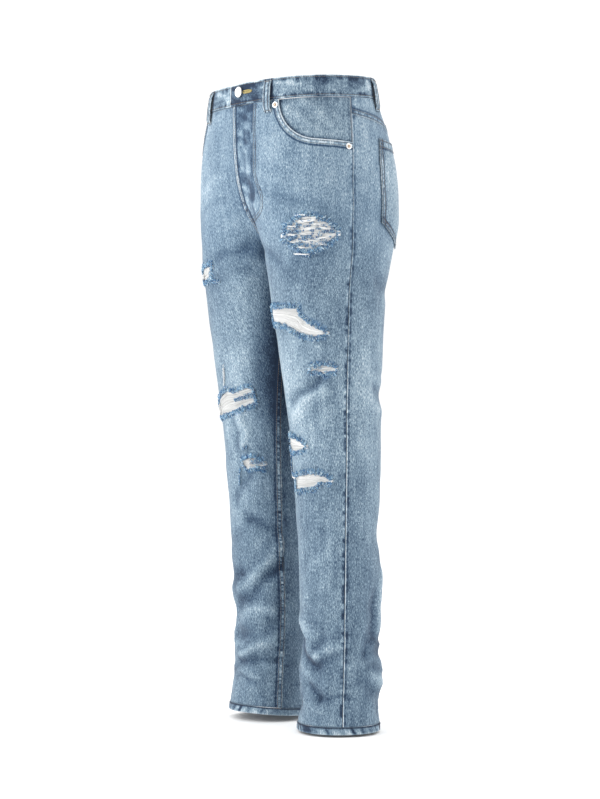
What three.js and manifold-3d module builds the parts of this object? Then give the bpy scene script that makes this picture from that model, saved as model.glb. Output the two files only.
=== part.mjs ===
// Ripped straight-leg jeans, filled out as if worn, with nobody inside.
// Millimetres, +Z up, front facing -Y, the wearer's left on +X.
// The origin is the centre of the waist opening, level with the middle of the waistband.

import * as THREE from 'three';
import { mergeVertices } from 'three/addons/utils/BufferGeometryUtils.js';
import Module from 'manifold-3d';

const wasm = await Module();
wasm.setup();

// ---------------------------------------------------------------- driving dimensions

const CLOTH = 1.2; // thickness of one layer of denim
const SEAM = 0.15; // each piece stops this far short of its seam line
const CLEAR = 0.3; // air between a piece and the one it lies on

const WAIST_TOP = 18.5; // top edge of the waistband
const WAIST_SEAM = -16; // waistband to panels
const CROTCH = -268; // the legs part here
const HEM_TOP = -997; // hem fold to leg
const HEM_BOTTOM = -1009; // lower edge of the legs
const WAIST_TILT = 0.06; // the waistband rises this much per mm towards the back
const TILT_FROM = -180; // the tilt starts at this height
const TILT_REACH = 160; // and is full this far above it

const YOKE_AT_SIDE = -44; // yoke seam at the side seam
const YOKE_SLOPE = -0.2; // and its fall towards the centre back

const MOUTH_START = -121; // pocket mouth meets the waistband, from the side seam
const MOUTH_CORNER = -60; // where the curved mouth runs level
const MOUTH_CORNER_Z = -84;
const MOUTH_SIDE_Z = -89; // pocket mouth at the side seam
const FACING_REACH = 15; // the facing runs on behind the front by this much
const FACING_DEPTH = 2.6; // and lies this far inside the outer face

const FLY_LAP = 3; // the left front laps this far past the centre
const FLY_END = -190; // lower end of the lap
const FLY_LIFT = CLOTH + CLEAR; // the lap stands this proud
const FLY_SETTLE = 60; // height over which the lap narrows to nothing

const BAND_PROUD = 0.9; // waistband's outer face beyond the panels' outer face
const BAND_WALL = 2.4;
const BAND_LAP = 10; // its upper end laps this far past the centre
const BAND_UNDERLAP = 14; // its lower end runs on this far under it
const BAND_LIFT = BAND_WALL + CLEAR;
const BAND_SETTLED = 52; // the upper end lies down on the panels this far from the centre

const LOOP_WIDTH = 13;
const LOOP_WALL = 1.6;
const LOOP_TOP = 15;
const LOOP_BOTTOM = -36;
const LOOP_GAP = 3.2; // clear space under a loop
const LOOP_FRONT = 79; // loops' distances from the centre front, along the waistband
const LOOP_BACK = 276;

const BUTTON_RADIUS = 8.5;
const BUTTON_FROM_CENTRE = 17;
const BUTTON_Z = 4;
const RIVET_RADIUS = 5;
const RIVET_TOP = { fromSide: -127, z: -25 };
const RIVET_SIDE = { fromSide: -9, z: -96 };

const HEM_PROUD = 0.7;
const HEM_WALL = 2.4;
const YARN_WALL = 0.8;
const YARN_INSET = 0.6; // air between the yarns' patch and a rip's edge
const CUT_OUT = 6; // the rips' cutting walls start this far out
const CUT_DEPTH = 14; // and are this thick

// Level sections of one leg and its half of the seat. Each is a rounded half-oval lobe:
//   z, outer edge x, lobe centre x and y, depth to front and back, squareness,
//   angle of the side seam and of the inseam (degrees, 0 = straight out to the side,
//   positive to the back), and the half width over which the two halves blend.
const SECTIONS = [
  [40, 145, 8, 1, 110, 105, 2.45, 2, 180, 40],
  [18, 147, 10, 1, 110, 106, 2.45, 2, 180, 40],
  [-24, 153, 24, 1, 112, 110, 2.4, 1, 180, 38],
  [-60, 161, 38, 3, 114, 117, 2.38, -2, 180, 36],
  [-100, 169, 51, 5, 116, 121, 2.35, -5, 180, 33],
  [-140, 174, 60, 7, 116, 121, 2.3, -8, 180, 29],
  [-180, 177, 71, 8, 114, 118, 2.25, -10, 180, 23],
  [-210, 179, 79, 8, 110, 114, 2.2, -12, 180, 16],
  [-241, 180, 86, 8, 106, 107, 2.15, -13, 180, 8],
  [CROTCH, 181, 90.5, 7, 102, 100, 2.12, -14, 180, 0],
  [-334, 179, 92, 5, 90, 90, 2.08, -16, 184, 0],
  [-411, 175, 93, 8, 80, 82, 2.05, -18, 190, 0],
  [-489, 169, 93, 12, 74, 76, 2.03, -20, 194, 0],
  [-566, 165, 94, 17, 69, 71, 2.02, -23, 196, 0],
  [-644, 162, 94, 21, 67, 67, 2, -26, 197, 0],
  [-721, 160, 95, 24, 65, 65, 2, -29, 196, 0],
  [-799, 159, 95, 26, 64, 63, 2, -31, 194, 0],
  [-876, 158, 95, 26, 62, 62, 2, -32, 194, 0],
  [-954, 158, 95, 24, 62, 62, 2, -32, 196, 0],
  [-1009, 162, 96, 22, 66, 66, 2, -32, 196, 0],
  [-1030, 162, 96, 22, 66, 66, 2, -32, 196, 0],
];

// The largest folds, as soft ridges (rise > 0) and troughs (rise < 0) along straight lines.
// Points are [distance from the side seam, height]; half 1 is the wearer's left, -1 the right.
const FOLDS = [
  { half: 1, from: [-42, -455], to: [-104, -493], rise: -4, reach: 11 },
  { half: 1, from: [-40, -478], to: [-100, -518], rise: 3, reach: 10 },
  { half: 1, from: [-76, -873], to: [-45, -889], rise: 4, reach: 9 },
  { half: 1, from: [-45, -889], to: [0, -870], rise: 4, reach: 9 },
  { half: 1, from: [-69, -938], to: [-43, -951], rise: -4, reach: 9 },
  { half: 1, from: [-43, -951], to: [10, -955], rise: -3, reach: 9 },
  { half: 1, from: [40, -880], to: [130, -900], rise: -4, reach: 11 },
  { half: 1, from: [50, -925], to: [130, -935], rise: 3, reach: 12 },
  { half: 1, from: [60, -470], to: [170, -500], rise: -4, reach: 13 },
  { half: 1, from: [60, -300], to: [200, -335], rise: -3, reach: 14 },
  { half: -1, from: [-150, -728], to: [-70, -806], rise: 4, reach: 11 },
  { half: -1, from: [-160, -752], to: [-122, -772], rise: -4, reach: 12 },
  { half: -1, from: [-130, -886], to: [-73, -914], rise: 4, reach: 9 },
  { half: -1, from: [-142, -917], to: [-70, -927], rise: -4, reach: 8 },
  { half: -1, from: [-90, -879], to: [-45, -880], rise: -3, reach: 9 },
  { half: -1, from: [-10, -730], to: [60, -760], rise: -3, reach: 12 },
  { half: -1, from: [40, -880], to: [130, -900], rise: 3, reach: 11 },
  { half: -1, from: [60, -480], to: [170, -505], rise: -4, reach: 13 },
  { half: -1, from: [60, -305], to: [200, -335], rise: -3, reach: 14 },
];

// Rips, as stations across the leg: [distance from the side seam, upper edge, lower edge].
const RIPS = [
  {
    name: 'rip_thigh_left', half: 1,
    stations: [[-114, -232, -238], [-100, -216, -246], [-80, -207, -257], [-60, -208, -256],
      [-42, -218, -246], [-28, -229, -236]],
  },
  {
    name: 'rip_above_knee_left', half: 1,
    stations: [[-176, -350, -356], [-150, -344, -365], [-113, -345, -370], [-83, -346, -383],
      [-78, -362, -386], [-60, -373, -390], [-36, -384, -388]],
  },
  {
    name: 'rip_knee_left', half: 1,
    stations: [[-58, -439, -443], [-39, -436, -448], [-20, -440, -444]],
  },
  {
    name: 'rip_shin_left', half: 1,
    stations: [[-136, -549, -562], [-115, -546, -568], [-95, -548, -568], [-69, -559, -564]],
  },
  {
    name: 'rip_calf_left', half: 1,
    stations: [[-96, -608, -628], [-74, -607, -627], [-54, -603, -625], [-43, -605, -616],
      [-26, -612, -616]],
  },
  {
    name: 'rip_thigh_right', half: -1,
    stations: [[-128, -268, -274], [-106, -270, -292], [-84, -277, -290], [-66, -280, -285]],
  },
  {
    name: 'rip_knee_right', half: -1,
    stations: [[-146, -468, -492], [-134, -470, -495], [-112, -475, -502], [-92, -474, -507],
      [-74, -481, -511], [-50, -490, -515], [-24, -503, -510]],
  },
  {
    name: 'rip_shin_right', half: -1,
    stations: [[-138, -588, -594], [-120, -582, -597], [-102, -586, -598]],
  },
];
const RIP_STEP = 12; // a rip's edges are followed in steps of about this

const DENIM = 0x8fa8c4;
const DENIM_DARK = 0x6f8cae;
const METAL = 0xc9c9c4;
const YARN = 0xe6ebf0;

// ---------------------------------------------------------------- the garment's form

const RING_STEPS = 240;
const STEEPEST = 0.5; // the most that the cloth's outward direction may tip up or down

function mix(a, b, t) {
  return a + (b - a) * t;
}

function smoothstep(low, high, x) {
  const t = Math.min(1, Math.max(0, (x - low) / (high - low)));
  return t * t * (3 - 2 * t);
}

// The section at a height: a smooth curve through the stated sections.
function sectionAt(z) {
  let i = 0;
  while (i < SECTIONS.length - 2 && SECTIONS[i + 1][0] > z) i++;
  const before = SECTIONS[Math.max(i - 1, 0)];
  const a = SECTIONS[i];
  const b = SECTIONS[i + 1];
  const after = SECTIONS[Math.min(i + 2, SECTIONS.length - 1)];
  const span = b[0] - a[0];
  const t = (z - a[0]) / span;
  const slopeShare = span / (b[0] - before[0]);
  const nextShare = span / (after[0] - a[0]);
  return a.map((value, k) => {
    const start = (b[k] - before[k]) * slopeShare;
    const end = (after[k] - value) * nextShare;
    const h00 = 2 * t ** 3 - 3 * t ** 2 + 1;
    const h10 = t ** 3 - 2 * t ** 2 + t;
    const h01 = 3 * t ** 2 - 2 * t ** 3;
    const h11 = t ** 3 - t ** 2;
    return h00 * value + h10 * start + h01 * b[k] + h11 * end;
  });
}

// The left half of the level outline at a height, from its front inner end round the outside
// to its back inner end: points, distance run at each, and the distance at the side seam.
const ringCache = new Map();

function ringAt(z) {
  const key = Math.round(z * 1000);
  if (ringCache.has(key)) return ringCache.get(key);
  const [, outer, cx, cy, front, back, power, side, inseam, blend] = sectionAt(z);
  const joined = z > CROTCH + 0.001;
  const wide = outer - cx;
  const first = joined ? -180 : inseam - 360;
  const last = joined ? 180 : inseam;
  let points = [];
  for (let i = 0; i <= RING_STEPS; i++) {
    const angle = THREE.MathUtils.degToRad(mix(first, last, i / RING_STEPS));
    const c = Math.cos(angle);
    const s = Math.sin(angle);
    const deep = s < 0 ? front : back;
    const r = (Math.abs(c / wide) ** power + Math.abs(s / deep) ** power) ** (-1 / power);
    points.push({ x: cx + r * c, y: cy + r * s, angle });
  }
  if (joined) points = joinAtCentre(points, blend);
  const run = [0];
  for (let i = 1; i < points.length; i++) {
    const step = Math.hypot(points[i].x - points[i - 1].x, points[i].y - points[i - 1].y);
    run.push(run[i - 1] + step);
  }
  const seamAngle = THREE.MathUtils.degToRad(side);
  let k = 1;
  while (k < points.length - 1 && points[k].angle < seamAngle) k++;
  const share = (seamAngle - points[k - 1].angle) / (points[k].angle - points[k - 1].angle);
  const sideRun = mix(run[k - 1], run[k], share);
  const ring = { points, run, joined, side: sideRun, total: run[run.length - 1] };
  ringCache.set(key, ring);
  return ring;
}

// Cuts a lobe at the centre plane and rounds it over, so that the two halves meet smoothly.
function joinAtCentre(points, blend) {
  const firstKept = points.findIndex((p) => p.x > 0);
  const kept = points.filter((p) => p.x > 0);
  const lastKept = firstKept + kept.length - 1;
  const crossing = (a, b) => {
    const t = a.x / (a.x - b.x);
    return { x: 0, y: mix(a.y, b.y, t), angle: a.angle };
  };
  const frontEnd = crossing(points[firstKept], points[Math.max(firstKept - 1, 0)]);
  const backEnd = crossing(points[lastKept], points[Math.min(lastKept + 1, points.length - 1)]);
  const cut = [frontEnd, ...kept, backEnd];
  if (blend < 0.5) return cut;
  const middle = cut.length / 2;
  for (const atFront of [true, false]) {
    const near = cut.filter((p, i) => p.x < blend && (i < middle) === atFront);
    const edge = atFront ? near[near.length - 1] : near[0];
    const beyond = cut[cut.indexOf(edge) + (atFront ? 1 : -1)];
    const slope = (beyond.y - edge.y) / (beyond.x - edge.x);
    const centreY = edge.y - (slope * edge.x) / 2;
    const bend = slope / (2 * edge.x);
    for (const p of near) p.y = centreY + bend * p.x ** 2;
  }
  return cut;
}

// Point of the left outline at a distance from the side seam (- to the front, + to the back).
// Past the centre line it carries on, mirrored, round the other half; a leg's outline is closed.
function outlinePoint(w, z) {
  const ring = ringAt(z);
  let run = ring.side + w;
  let mirror = 1;
  if (!ring.joined) {
    run = ((run % ring.total) + ring.total) % ring.total;
  } else if (run < 0) {
    run = -run;
    mirror = -1;
  } else if (run > ring.total) {
    run = 2 * ring.total - run;
    mirror = -1;
  }
  let low = 0;
  let high = ring.run.length - 1;
  while (high - low > 1) {
    const middle = (low + high) >> 1;
    if (ring.run[middle] > run) high = middle;
    else low = middle;
  }
  const t = (run - ring.run[low]) / Math.max(ring.run[high] - ring.run[low], 1e-9);
  const a = ring.points[low];
  const b = ring.points[high];
  return new THREE.Vector3(mirror * mix(a.x, b.x, t), mix(a.y, b.y, t), z);
}

function foldRise(half, w, z) {
  let rise = 0;
  for (const fold of FOLDS) {
    if (fold.half !== half) continue;
    const dw = fold.to[0] - fold.from[0];
    const dz = fold.to[1] - fold.from[1];
    const along = ((w - fold.from[0]) * dw + (z - fold.from[1]) * dz) / (dw * dw + dz * dz);
    const t = Math.min(1, Math.max(0, along));
    const away = Math.hypot(w - fold.from[0] - t * dw, z - fold.from[1] - t * dz);
    rise += fold.rise * Math.exp(-((away / fold.reach) ** 2));
  }
  return rise;
}

// The garment's surface: half 1 or -1, distance from the side seam, height, and distance out
// from the outer face of the panels.
function surface(half, w, z, out) {
  const step = 1.5;
  const across = outlinePoint(w + step, z).sub(outlinePoint(w - step, z));
  const ring = ringAt(z);
  const share = (ring.side + w) / ring.total;
  const sameShare = (level) => outlinePoint(share * ringAt(level).total - ringAt(level).side, level);
  const along = sameShare(z + step).sub(sameShare(z - step));
  const normal = across.cross(along).normalize();
  normal.z = THREE.MathUtils.clamp(normal.z, -STEEPEST, STEEPEST);
  normal.normalize();
  const p = outlinePoint(w, z).addScaledVector(normal, out + foldRise(half, w, z));
  if (z <= CROTCH + 12) p.x = Math.max(p.x, SEAM);
  p.x *= half;
  p.z += WAIST_TILT * p.y * THREE.MathUtils.clamp((z - TILT_FROM) / TILT_REACH, 0, 1);
  if (half < 0) p.z += farLegRaise(p.y, z);
  return p;
}

// The right leg hangs a little shorter and its front hem kicks up.
function farLegRaise(y, z) {
  const low = smoothstep(-560, -960, z);
  return low * (5 - 0.09 * (y - 22));
}

// ---------------------------------------------------------------- making closed walls

function closedGeometry(points, faces) {
  const geometry = new THREE.BufferGeometry();
  const positions = new Float32Array(points.length * 3);
  points.forEach((p, i) => p.toArray(positions, i * 3));
  let volume = 0;
  for (const [a, b, c] of faces) {
    volume += points[a].dot(new THREE.Vector3().crossVectors(points[b], points[c]));
  }
  const index = faces.flatMap(([a, b, c]) => (volume > 0 ? [a, b, c] : [a, c, b]));
  geometry.setAttribute('position', new THREE.BufferAttribute(positions, 3));
  geometry.setIndex(index);
  geometry.computeVertexNormals();
  return geometry;
}

// A wall from a grid of places: rows of [outer point, inner point] pairs.
// With wrap, the last column joins the first, so the wall is a tube with open ends.
function wallFromGrid(grid, wrap = false) {
  const rows = grid.length;
  const columns = grid[0].length;
  const points = [];
  for (const row of grid) for (const [outer] of row) points.push(outer);
  for (const row of grid) for (const [, inner] of row) points.push(inner);
  const layer = rows * columns;
  const faces = [];
  const quad = (a, b, c, d) => faces.push([a, b, c], [a, c, d]);
  const cellColumns = wrap ? columns : columns - 1;
  for (let r = 0; r < rows - 1; r++) {
    for (let c = 0; c < cellColumns; c++) {
      const a = r * columns + c;
      const b = r * columns + ((c + 1) % columns);
      quad(a, b, b + columns, a + columns);
      quad(layer + a, layer + a + columns, layer + b + columns, layer + b);
    }
  }
  for (let c = 0; c < cellColumns; c++) {
    const a = c;
    const b = (c + 1) % columns;
    const lastRow = (rows - 1) * columns;
    quad(a, layer + a, layer + b, b);
    quad(lastRow + a, lastRow + b, layer + lastRow + b, layer + lastRow + a);
  }
  if (!wrap) {
    for (let r = 0; r < rows - 1; r++) {
      const left = r * columns;
      const right = left + columns - 1;
      quad(left, left + columns, layer + left + columns, layer + left);
      quad(right, layer + right, layer + right + columns, right + columns);
    }
  }
  return closedGeometry(points, faces);
}

// A wall over part of one half: place(row, column) gives [w, z, extra lift].
function wall(half, rows, columns, place, outer, thick, wrap = false) {
  const grid = [];
  for (let r = 0; r < rows; r++) {
    const line = [];
    for (let c = 0; c < columns; c++) {
      const [w, z, lift = 0] = place(r, c);
      line.push([surface(half, w, z, outer + lift), surface(half, w, z, outer + lift - thick)]);
    }
    grid.push(line);
  }
  return wallFromGrid(grid, wrap);
}

function toSolid(geometry) {
  const bare = geometry.clone();
  bare.deleteAttribute('normal');
  const merged = mergeVertices(bare, 1e-4);
  const vertProperties = new Float32Array(merged.attributes.position.array);
  const triVerts = new Uint32Array(merged.index.array);
  return new wasm.Manifold(new wasm.Mesh({ numProp: 3, vertProperties, triVerts }));
}

function fromSolid(solid) {
  const mesh = solid.getMesh();
  const geometry = new THREE.BufferGeometry();
  geometry.setAttribute('position', new THREE.BufferAttribute(mesh.vertProperties, 3));
  geometry.setIndex(new THREE.BufferAttribute(mesh.triVerts, 1));
  geometry.computeVertexNormals();
  return geometry;
}

// ---------------------------------------------------------------- panels

// Heights of the panels' rows from the hip down. They are closer together at the crotch,
// the knees and the creased shins.
const PANEL_ROWS = [-115, -145, -175, -204, -226, -244, -257, -265, -275, -294, -328, -378,
  -426, -456, -484, -512, -550, -605, -665, -725, -775, -824, -860, -882, -904, -926, -946,
  -968, HEM_TOP + SEAM];
const UPPER_ROWS = 3; // rows between a panel's shaped top edge and the first of these

// Columns as shares of the front's width, closer at the fly and at the pocket mouth's start.
const FRONT_COLUMNS = [0, 0.04, 0.1, 0.24, 0.44, 0.475, 0.56, 0.67, 0.78, 0.89, 1];
const BACK_COLUMNS = [0, 0.13, 0.26, 0.39, 0.52, 0.64, 0.76, 0.88, 1];

function pocketMouth(w) {
  if (w <= MOUTH_START) return WAIST_SEAM;
  if (w >= MOUTH_CORNER) {
    return mix(MOUTH_CORNER_Z, MOUTH_SIDE_Z, (w - MOUTH_CORNER) / -MOUTH_CORNER);
  }
  const share = (MOUTH_CORNER - w) / (MOUTH_CORNER - MOUTH_START);
  return WAIST_SEAM - (WAIST_SEAM - MOUTH_CORNER_Z) * Math.sqrt(1 - share ** 2);
}

function yokeSeam(w) {
  return YOKE_AT_SIDE + YOKE_SLOPE * w;
}

// How far the left front reaches past the centre line at a height.
function flyLap(z) {
  return FLY_LAP * smoothstep(FLY_END, FLY_END + FLY_SETTLE, z);
}

function flyLift(fromCentre, z) {
  return FLY_LIFT * (1 - smoothstep(3, 14, fromCentre)) * smoothstep(FLY_END - 25, FLY_END - 5, z);
}

function panelRows(r, topEdge) {
  if (r < UPPER_ROWS) return mix(topEdge, PANEL_ROWS[0], r / UPPER_ROWS);
  return PANEL_ROWS[r - UPPER_ROWS];
}

function frontPanel(half) {
  const rows = UPPER_ROWS + PANEL_ROWS.length;
  return wall(half, rows, FRONT_COLUMNS.length, (r, c) => {
    const share = FRONT_COLUMNS[c];
    const topSide = ringAt(WAIST_SEAM).side;
    const topW = mix(-topSide, 0, share);
    const topEdge = pocketMouth(topW) - SEAM;
    const z = panelRows(r, topEdge);
    const side = ringAt(z).side;
    const lap = half > 0 ? flyLap(z) : 0;
    const edge = -side + (lap > 0.05 ? -lap : SEAM);
    const w = mix(edge, -SEAM, share);
    const lift = half > 0 ? flyLift(w + side, z) : 0;
    return [w, z, lift];
  }, 0, CLOTH);
}

function backPanel(half) {
  const rows = UPPER_ROWS + PANEL_ROWS.length;
  return wall(half, rows, BACK_COLUMNS.length, (r, c) => {
    const share = BACK_COLUMNS[c];
    const top = ringAt(YOKE_AT_SIDE);
    const topEdge = yokeSeam(share * (top.total - top.side)) - SEAM;
    const z = panelRows(r, topEdge);
    const ring = ringAt(z);
    return [mix(SEAM, ring.total - ring.side - SEAM, share), z];
  }, 0, CLOTH);
}

const YOKE_ROWS = 4;

function yoke(half) {
  return wall(half, YOKE_ROWS, BACK_COLUMNS.length, (r, c) => {
    const share = BACK_COLUMNS[c];
    const top = ringAt(YOKE_AT_SIDE);
    const lower = yokeSeam(share * (top.total - top.side)) + SEAM;
    const z = mix(WAIST_SEAM - SEAM, lower, r / (YOKE_ROWS - 1));
    const ring = ringAt(z);
    return [mix(SEAM, ring.total - ring.side - SEAM, share), z];
  }, 0, CLOTH);
}

// The cloth behind the pocket mouth, from the waistband to just below the mouth's edge.
const FACING_ROWS = 6;
const FACING_COLUMNS = 9;

function pocketFacing(half) {
  const left = MOUTH_START - FACING_REACH;
  return wall(half, FACING_ROWS, FACING_COLUMNS, (r, c) => {
    const w = mix(left, -SEAM, c / (FACING_COLUMNS - 1));
    const drop = Math.sqrt(Math.max(0, 1 - ((w - MOUTH_CORNER) / (left - MOUTH_CORNER)) ** 2));
    const curve = WAIST_SEAM - (WAIST_SEAM - MOUTH_CORNER_Z + FACING_REACH) * drop;
    const bottom = Math.min(w > MOUTH_CORNER ? MOUTH_SIDE_Z - FACING_REACH : curve, WAIST_SEAM - 20);
    return [w, mix(WAIST_SEAM - SEAM, bottom, r / (FACING_ROWS - 1))];
  }, -FACING_DEPTH, CLOTH);
}

// Patch pocket: straight sides that close in a little, and a shallow point below.
const POCKET = { side: 54, centre: 198, sideTop: -81, centreTop: -92, sideLow: -212,
  centreLow: -218, tipW: 125, tipZ: -248, narrow: 6 };
const POCKET_ROWS = 8;
const POCKET_COLUMNS = 9;

function backPocket(half) {
  return wall(half, POCKET_ROWS, POCKET_COLUMNS, (r, c) => {
    const across = c / (POCKET_COLUMNS - 1);
    const down = r / (POCKET_ROWS - 1);
    const w = mix(POCKET.side + POCKET.narrow * down, POCKET.centre - POCKET.narrow * down, across);
    const top = mix(POCKET.sideTop, POCKET.centreTop, across);
    const lowCorner = mix(POCKET.sideLow, POCKET.centreLow, across);
    const point = 1 - Math.abs(across - 0.5) * 2;
    const bottom = lowCorner + point * (POCKET.tipZ - (POCKET.sideLow + POCKET.centreLow) / 2);
    return [w, mix(top, bottom, down)];
  }, CLEAR + 0.5 + CLOTH, CLOTH);
}

// ---------------------------------------------------------------- waistband, loops, hems

const BAND_STEP = 19;
const BAND_ROWS = 2;

function waistband() {
  const places = [];
  const add = (half, fromCentre, lift) => places.push({ half, fromCentre, lift });
  const upperLift = (c) => BAND_LIFT * (1 - smoothstep(BAND_UNDERLAP + 4, BAND_SETTLED, c));
  for (const c of [-BAND_LAP, 0, 9, BAND_UNDERLAP + 4, 27, 35, 43, BAND_SETTLED]) {
    add(1, c, upperLift(c));
  }
  const half = ringAt(0).total;
  const steps = Math.round((half - BAND_SETTLED) / BAND_STEP);
  for (let i = 1; i <= steps; i++) add(1, mix(BAND_SETTLED, half, i / steps), 0);
  const backSteps = Math.round(half / BAND_STEP);
  for (let i = backSteps - 1; i >= 0; i--) add(-1, mix(0, half, i / backSteps), 0);
  add(-1, -BAND_UNDERLAP, 0);
  const grid = [];
  for (let r = 0; r < BAND_ROWS; r++) {
    const z = mix(WAIST_TOP, WAIST_SEAM + SEAM, r / (BAND_ROWS - 1));
    grid.push(places.map(({ half: h, fromCentre, lift }) => {
      const ring = ringAt(z);
      const reach = (fromCentre / half) * (fromCentre > BAND_SETTLED + 8 ? ring.total : half) - ring.side;
      const w = h > 0 || fromCentre >= 0 ? reach : fromCentre - ring.side;
      const outer = BAND_PROUD + lift;
      return [surface(h, w, z, outer), surface(h, w, z, outer - BAND_WALL)];
    }));
  }
  return wallFromGrid(grid);
}

// A loop: a strip fixed to the waistband's top and just below its seam, bowed out between.
const LOOP_PROFILE = [
  // height share, distance of its inner face out from the panels' outer face
  [0, BAND_PROUD + 0.5],
  [0.06, BAND_PROUD + 0.6],
  [0.14, BAND_PROUD + LOOP_GAP],
  [0.5, BAND_PROUD + LOOP_GAP + 0.6],
  [0.86, BAND_PROUD + LOOP_GAP - 0.4],
  [0.94, 1.0],
  [1, 0.5],
];

function beltLoop(half, fromCentre) {
  const grid = LOOP_PROFILE.map(([share, out]) => {
    const z = mix(LOOP_TOP, LOOP_BOTTOM, share);
    const ring = ringAt(z);
    const middle = (fromCentre / ringAt(0).total) * ring.total - ring.side;
    return [-LOOP_WIDTH / 2, 0, LOOP_WIDTH / 2].map((offset) => [
      surface(half, middle + offset, z, out + LOOP_WALL),
      surface(half, middle + offset, z, out),
    ]);
  });
  return wallFromGrid(grid);
}

const HEM_COLUMNS = 30;

function hem(half) {
  return wall(half, 2, HEM_COLUMNS, (r, c) => {
    const z = r === 0 ? HEM_TOP - SEAM : HEM_BOTTOM;
    const ring = ringAt(z);
    return [mix(0, ring.total, c / HEM_COLUMNS) - ring.side, z];
  }, HEM_PROUD, HEM_WALL, true);
}

// ---------------------------------------------------------------- rips

// A rip's edges, in steps: [w, upper edge, lower edge].
function ripSteps(stations, inset) {
  const steps = [];
  for (let i = 0; i < stations.length - 1; i++) {
    const [a, b] = [stations[i], stations[i + 1]];
    const count = Math.max(1, Math.round((b[0] - a[0]) / RIP_STEP));
    for (let k = 0; k < count; k++) steps.push(a.map((value, n) => mix(value, b[n], k / count)));
  }
  steps.push(stations[stations.length - 1]);
  const last = steps.length - 1;
  return steps.map(([w, upper, lower], i) => {
    const shift = i === 0 ? inset : i === last ? -inset : 0;
    return [w + shift, upper - inset, lower + inset];
  });
}

function ripWall(rip, inset, outer, thick) {
  const steps = ripSteps(rip.stations, inset);
  return wall(rip.half, 2, steps.length, (r, c) => {
    const [w, upper, lower] = steps[c];
    return [w, r === 0 ? upper : lower];
  }, outer, thick);
}

function cutRips(geometry, half) {
  let solid = toSolid(geometry);
  for (const rip of RIPS.filter((r) => r.half === half)) {
    solid = solid.subtract(toSolid(ripWall(rip, 0, CUT_OUT, CUT_DEPTH)));
  }
  return fromSolid(solid);
}

// ---------------------------------------------------------------- button and rivets

// A turned piece standing on the cloth, its axis along the cloth's outward direction.
function turned(profile, half, fromCentre, z, out) {
  const points = profile.map(([r, h]) => new THREE.Vector2(r, h));
  const geometry = new THREE.LatheGeometry(points, TURNED_SIDES);
  const ring = ringAt(z);
  const w = fromCentre - ring.side;
  const base = surface(half, w, z, out);
  const axis = surface(half, w, z, out + 10).sub(base).normalize();
  const turn = new THREE.Quaternion().setFromUnitVectors(new THREE.Vector3(0, 1, 0), axis);
  geometry.applyQuaternion(turn);
  geometry.translate(base.x, base.y, base.z);
  geometry.deleteAttribute('normal');
  geometry.deleteAttribute('uv');
  const merged = mergeVertices(geometry, 1e-3);
  merged.computeVertexNormals();
  return merged;
}

const TURNED_SIDES = 16;
const BUTTON_PROFILE = [[0, 0], [3, 0], [3, 2], [BUTTON_RADIUS, 2.6], [BUTTON_RADIUS, 4],
  [BUTTON_RADIUS - 1.2, 4.8], [0, 4.4]];
const RIVET_PROFILE = [[0, 0], [RIVET_RADIUS, 0], [RIVET_RADIUS, 0.7], [RIVET_RADIUS - 1.5, 1.5],
  [0, 1.9]];

// ---------------------------------------------------------------- the jeans

const group = new THREE.Group();

function addMesh(name, geometry, color, roughness = 0.95, metalness = 0) {
  const material = new THREE.MeshStandardMaterial({ color, roughness, metalness });
  const mesh = new THREE.Mesh(geometry, material);
  mesh.name = name;
  group.add(mesh);
}

for (const [half, side] of [[1, 'left'], [-1, 'right']]) {
  addMesh(`front_${side}`, cutRips(frontPanel(half), half), DENIM);
  addMesh(`back_${side}`, backPanel(half), DENIM);
  addMesh(`yoke_${side}`, yoke(half), DENIM);
  addMesh(`facing_${side}`, pocketFacing(half), DENIM_DARK);
  addMesh(`pocket_${side}`, backPocket(half), DENIM);
  addMesh(`hem_${side}`, hem(half), DENIM);
  addMesh(`loop_front_${side}`, beltLoop(half, LOOP_FRONT), DENIM);
  addMesh(`loop_back_${side}`, beltLoop(half, LOOP_BACK), DENIM);
  for (const [place, { fromSide, z }] of [['top', RIVET_TOP], ['side', RIVET_SIDE]]) {
    const fromCentre = ringAt(z).side + fromSide;
    const rivet = turned(RIVET_PROFILE, half, fromCentre, z, CLEAR + 0.1);
    addMesh(`rivet_${side}_${place}`, rivet, METAL, 0.35, 1);
  }
}
addMesh('loop_centre', beltLoop(1, ringAt(0).total), DENIM);
addMesh('waistband', waistband(), DENIM);
const buttonBase = BAND_PROUD + BAND_LIFT + CLEAR;
const button = turned(BUTTON_PROFILE, 1, BUTTON_FROM_CENTRE, BUTTON_Z, buttonBase);
addMesh('waist_button', button, METAL, 0.35, 1);
for (const rip of RIPS) {
  addMesh(rip.name, ripWall(rip, YARN_INSET, -0.2, YARN_WALL), YARN);
}

export default group;
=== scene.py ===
import math

import bmesh
import bpy
import numpy as np
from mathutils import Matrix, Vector
from mathutils.geometry import delaunay_2d_cdt


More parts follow.
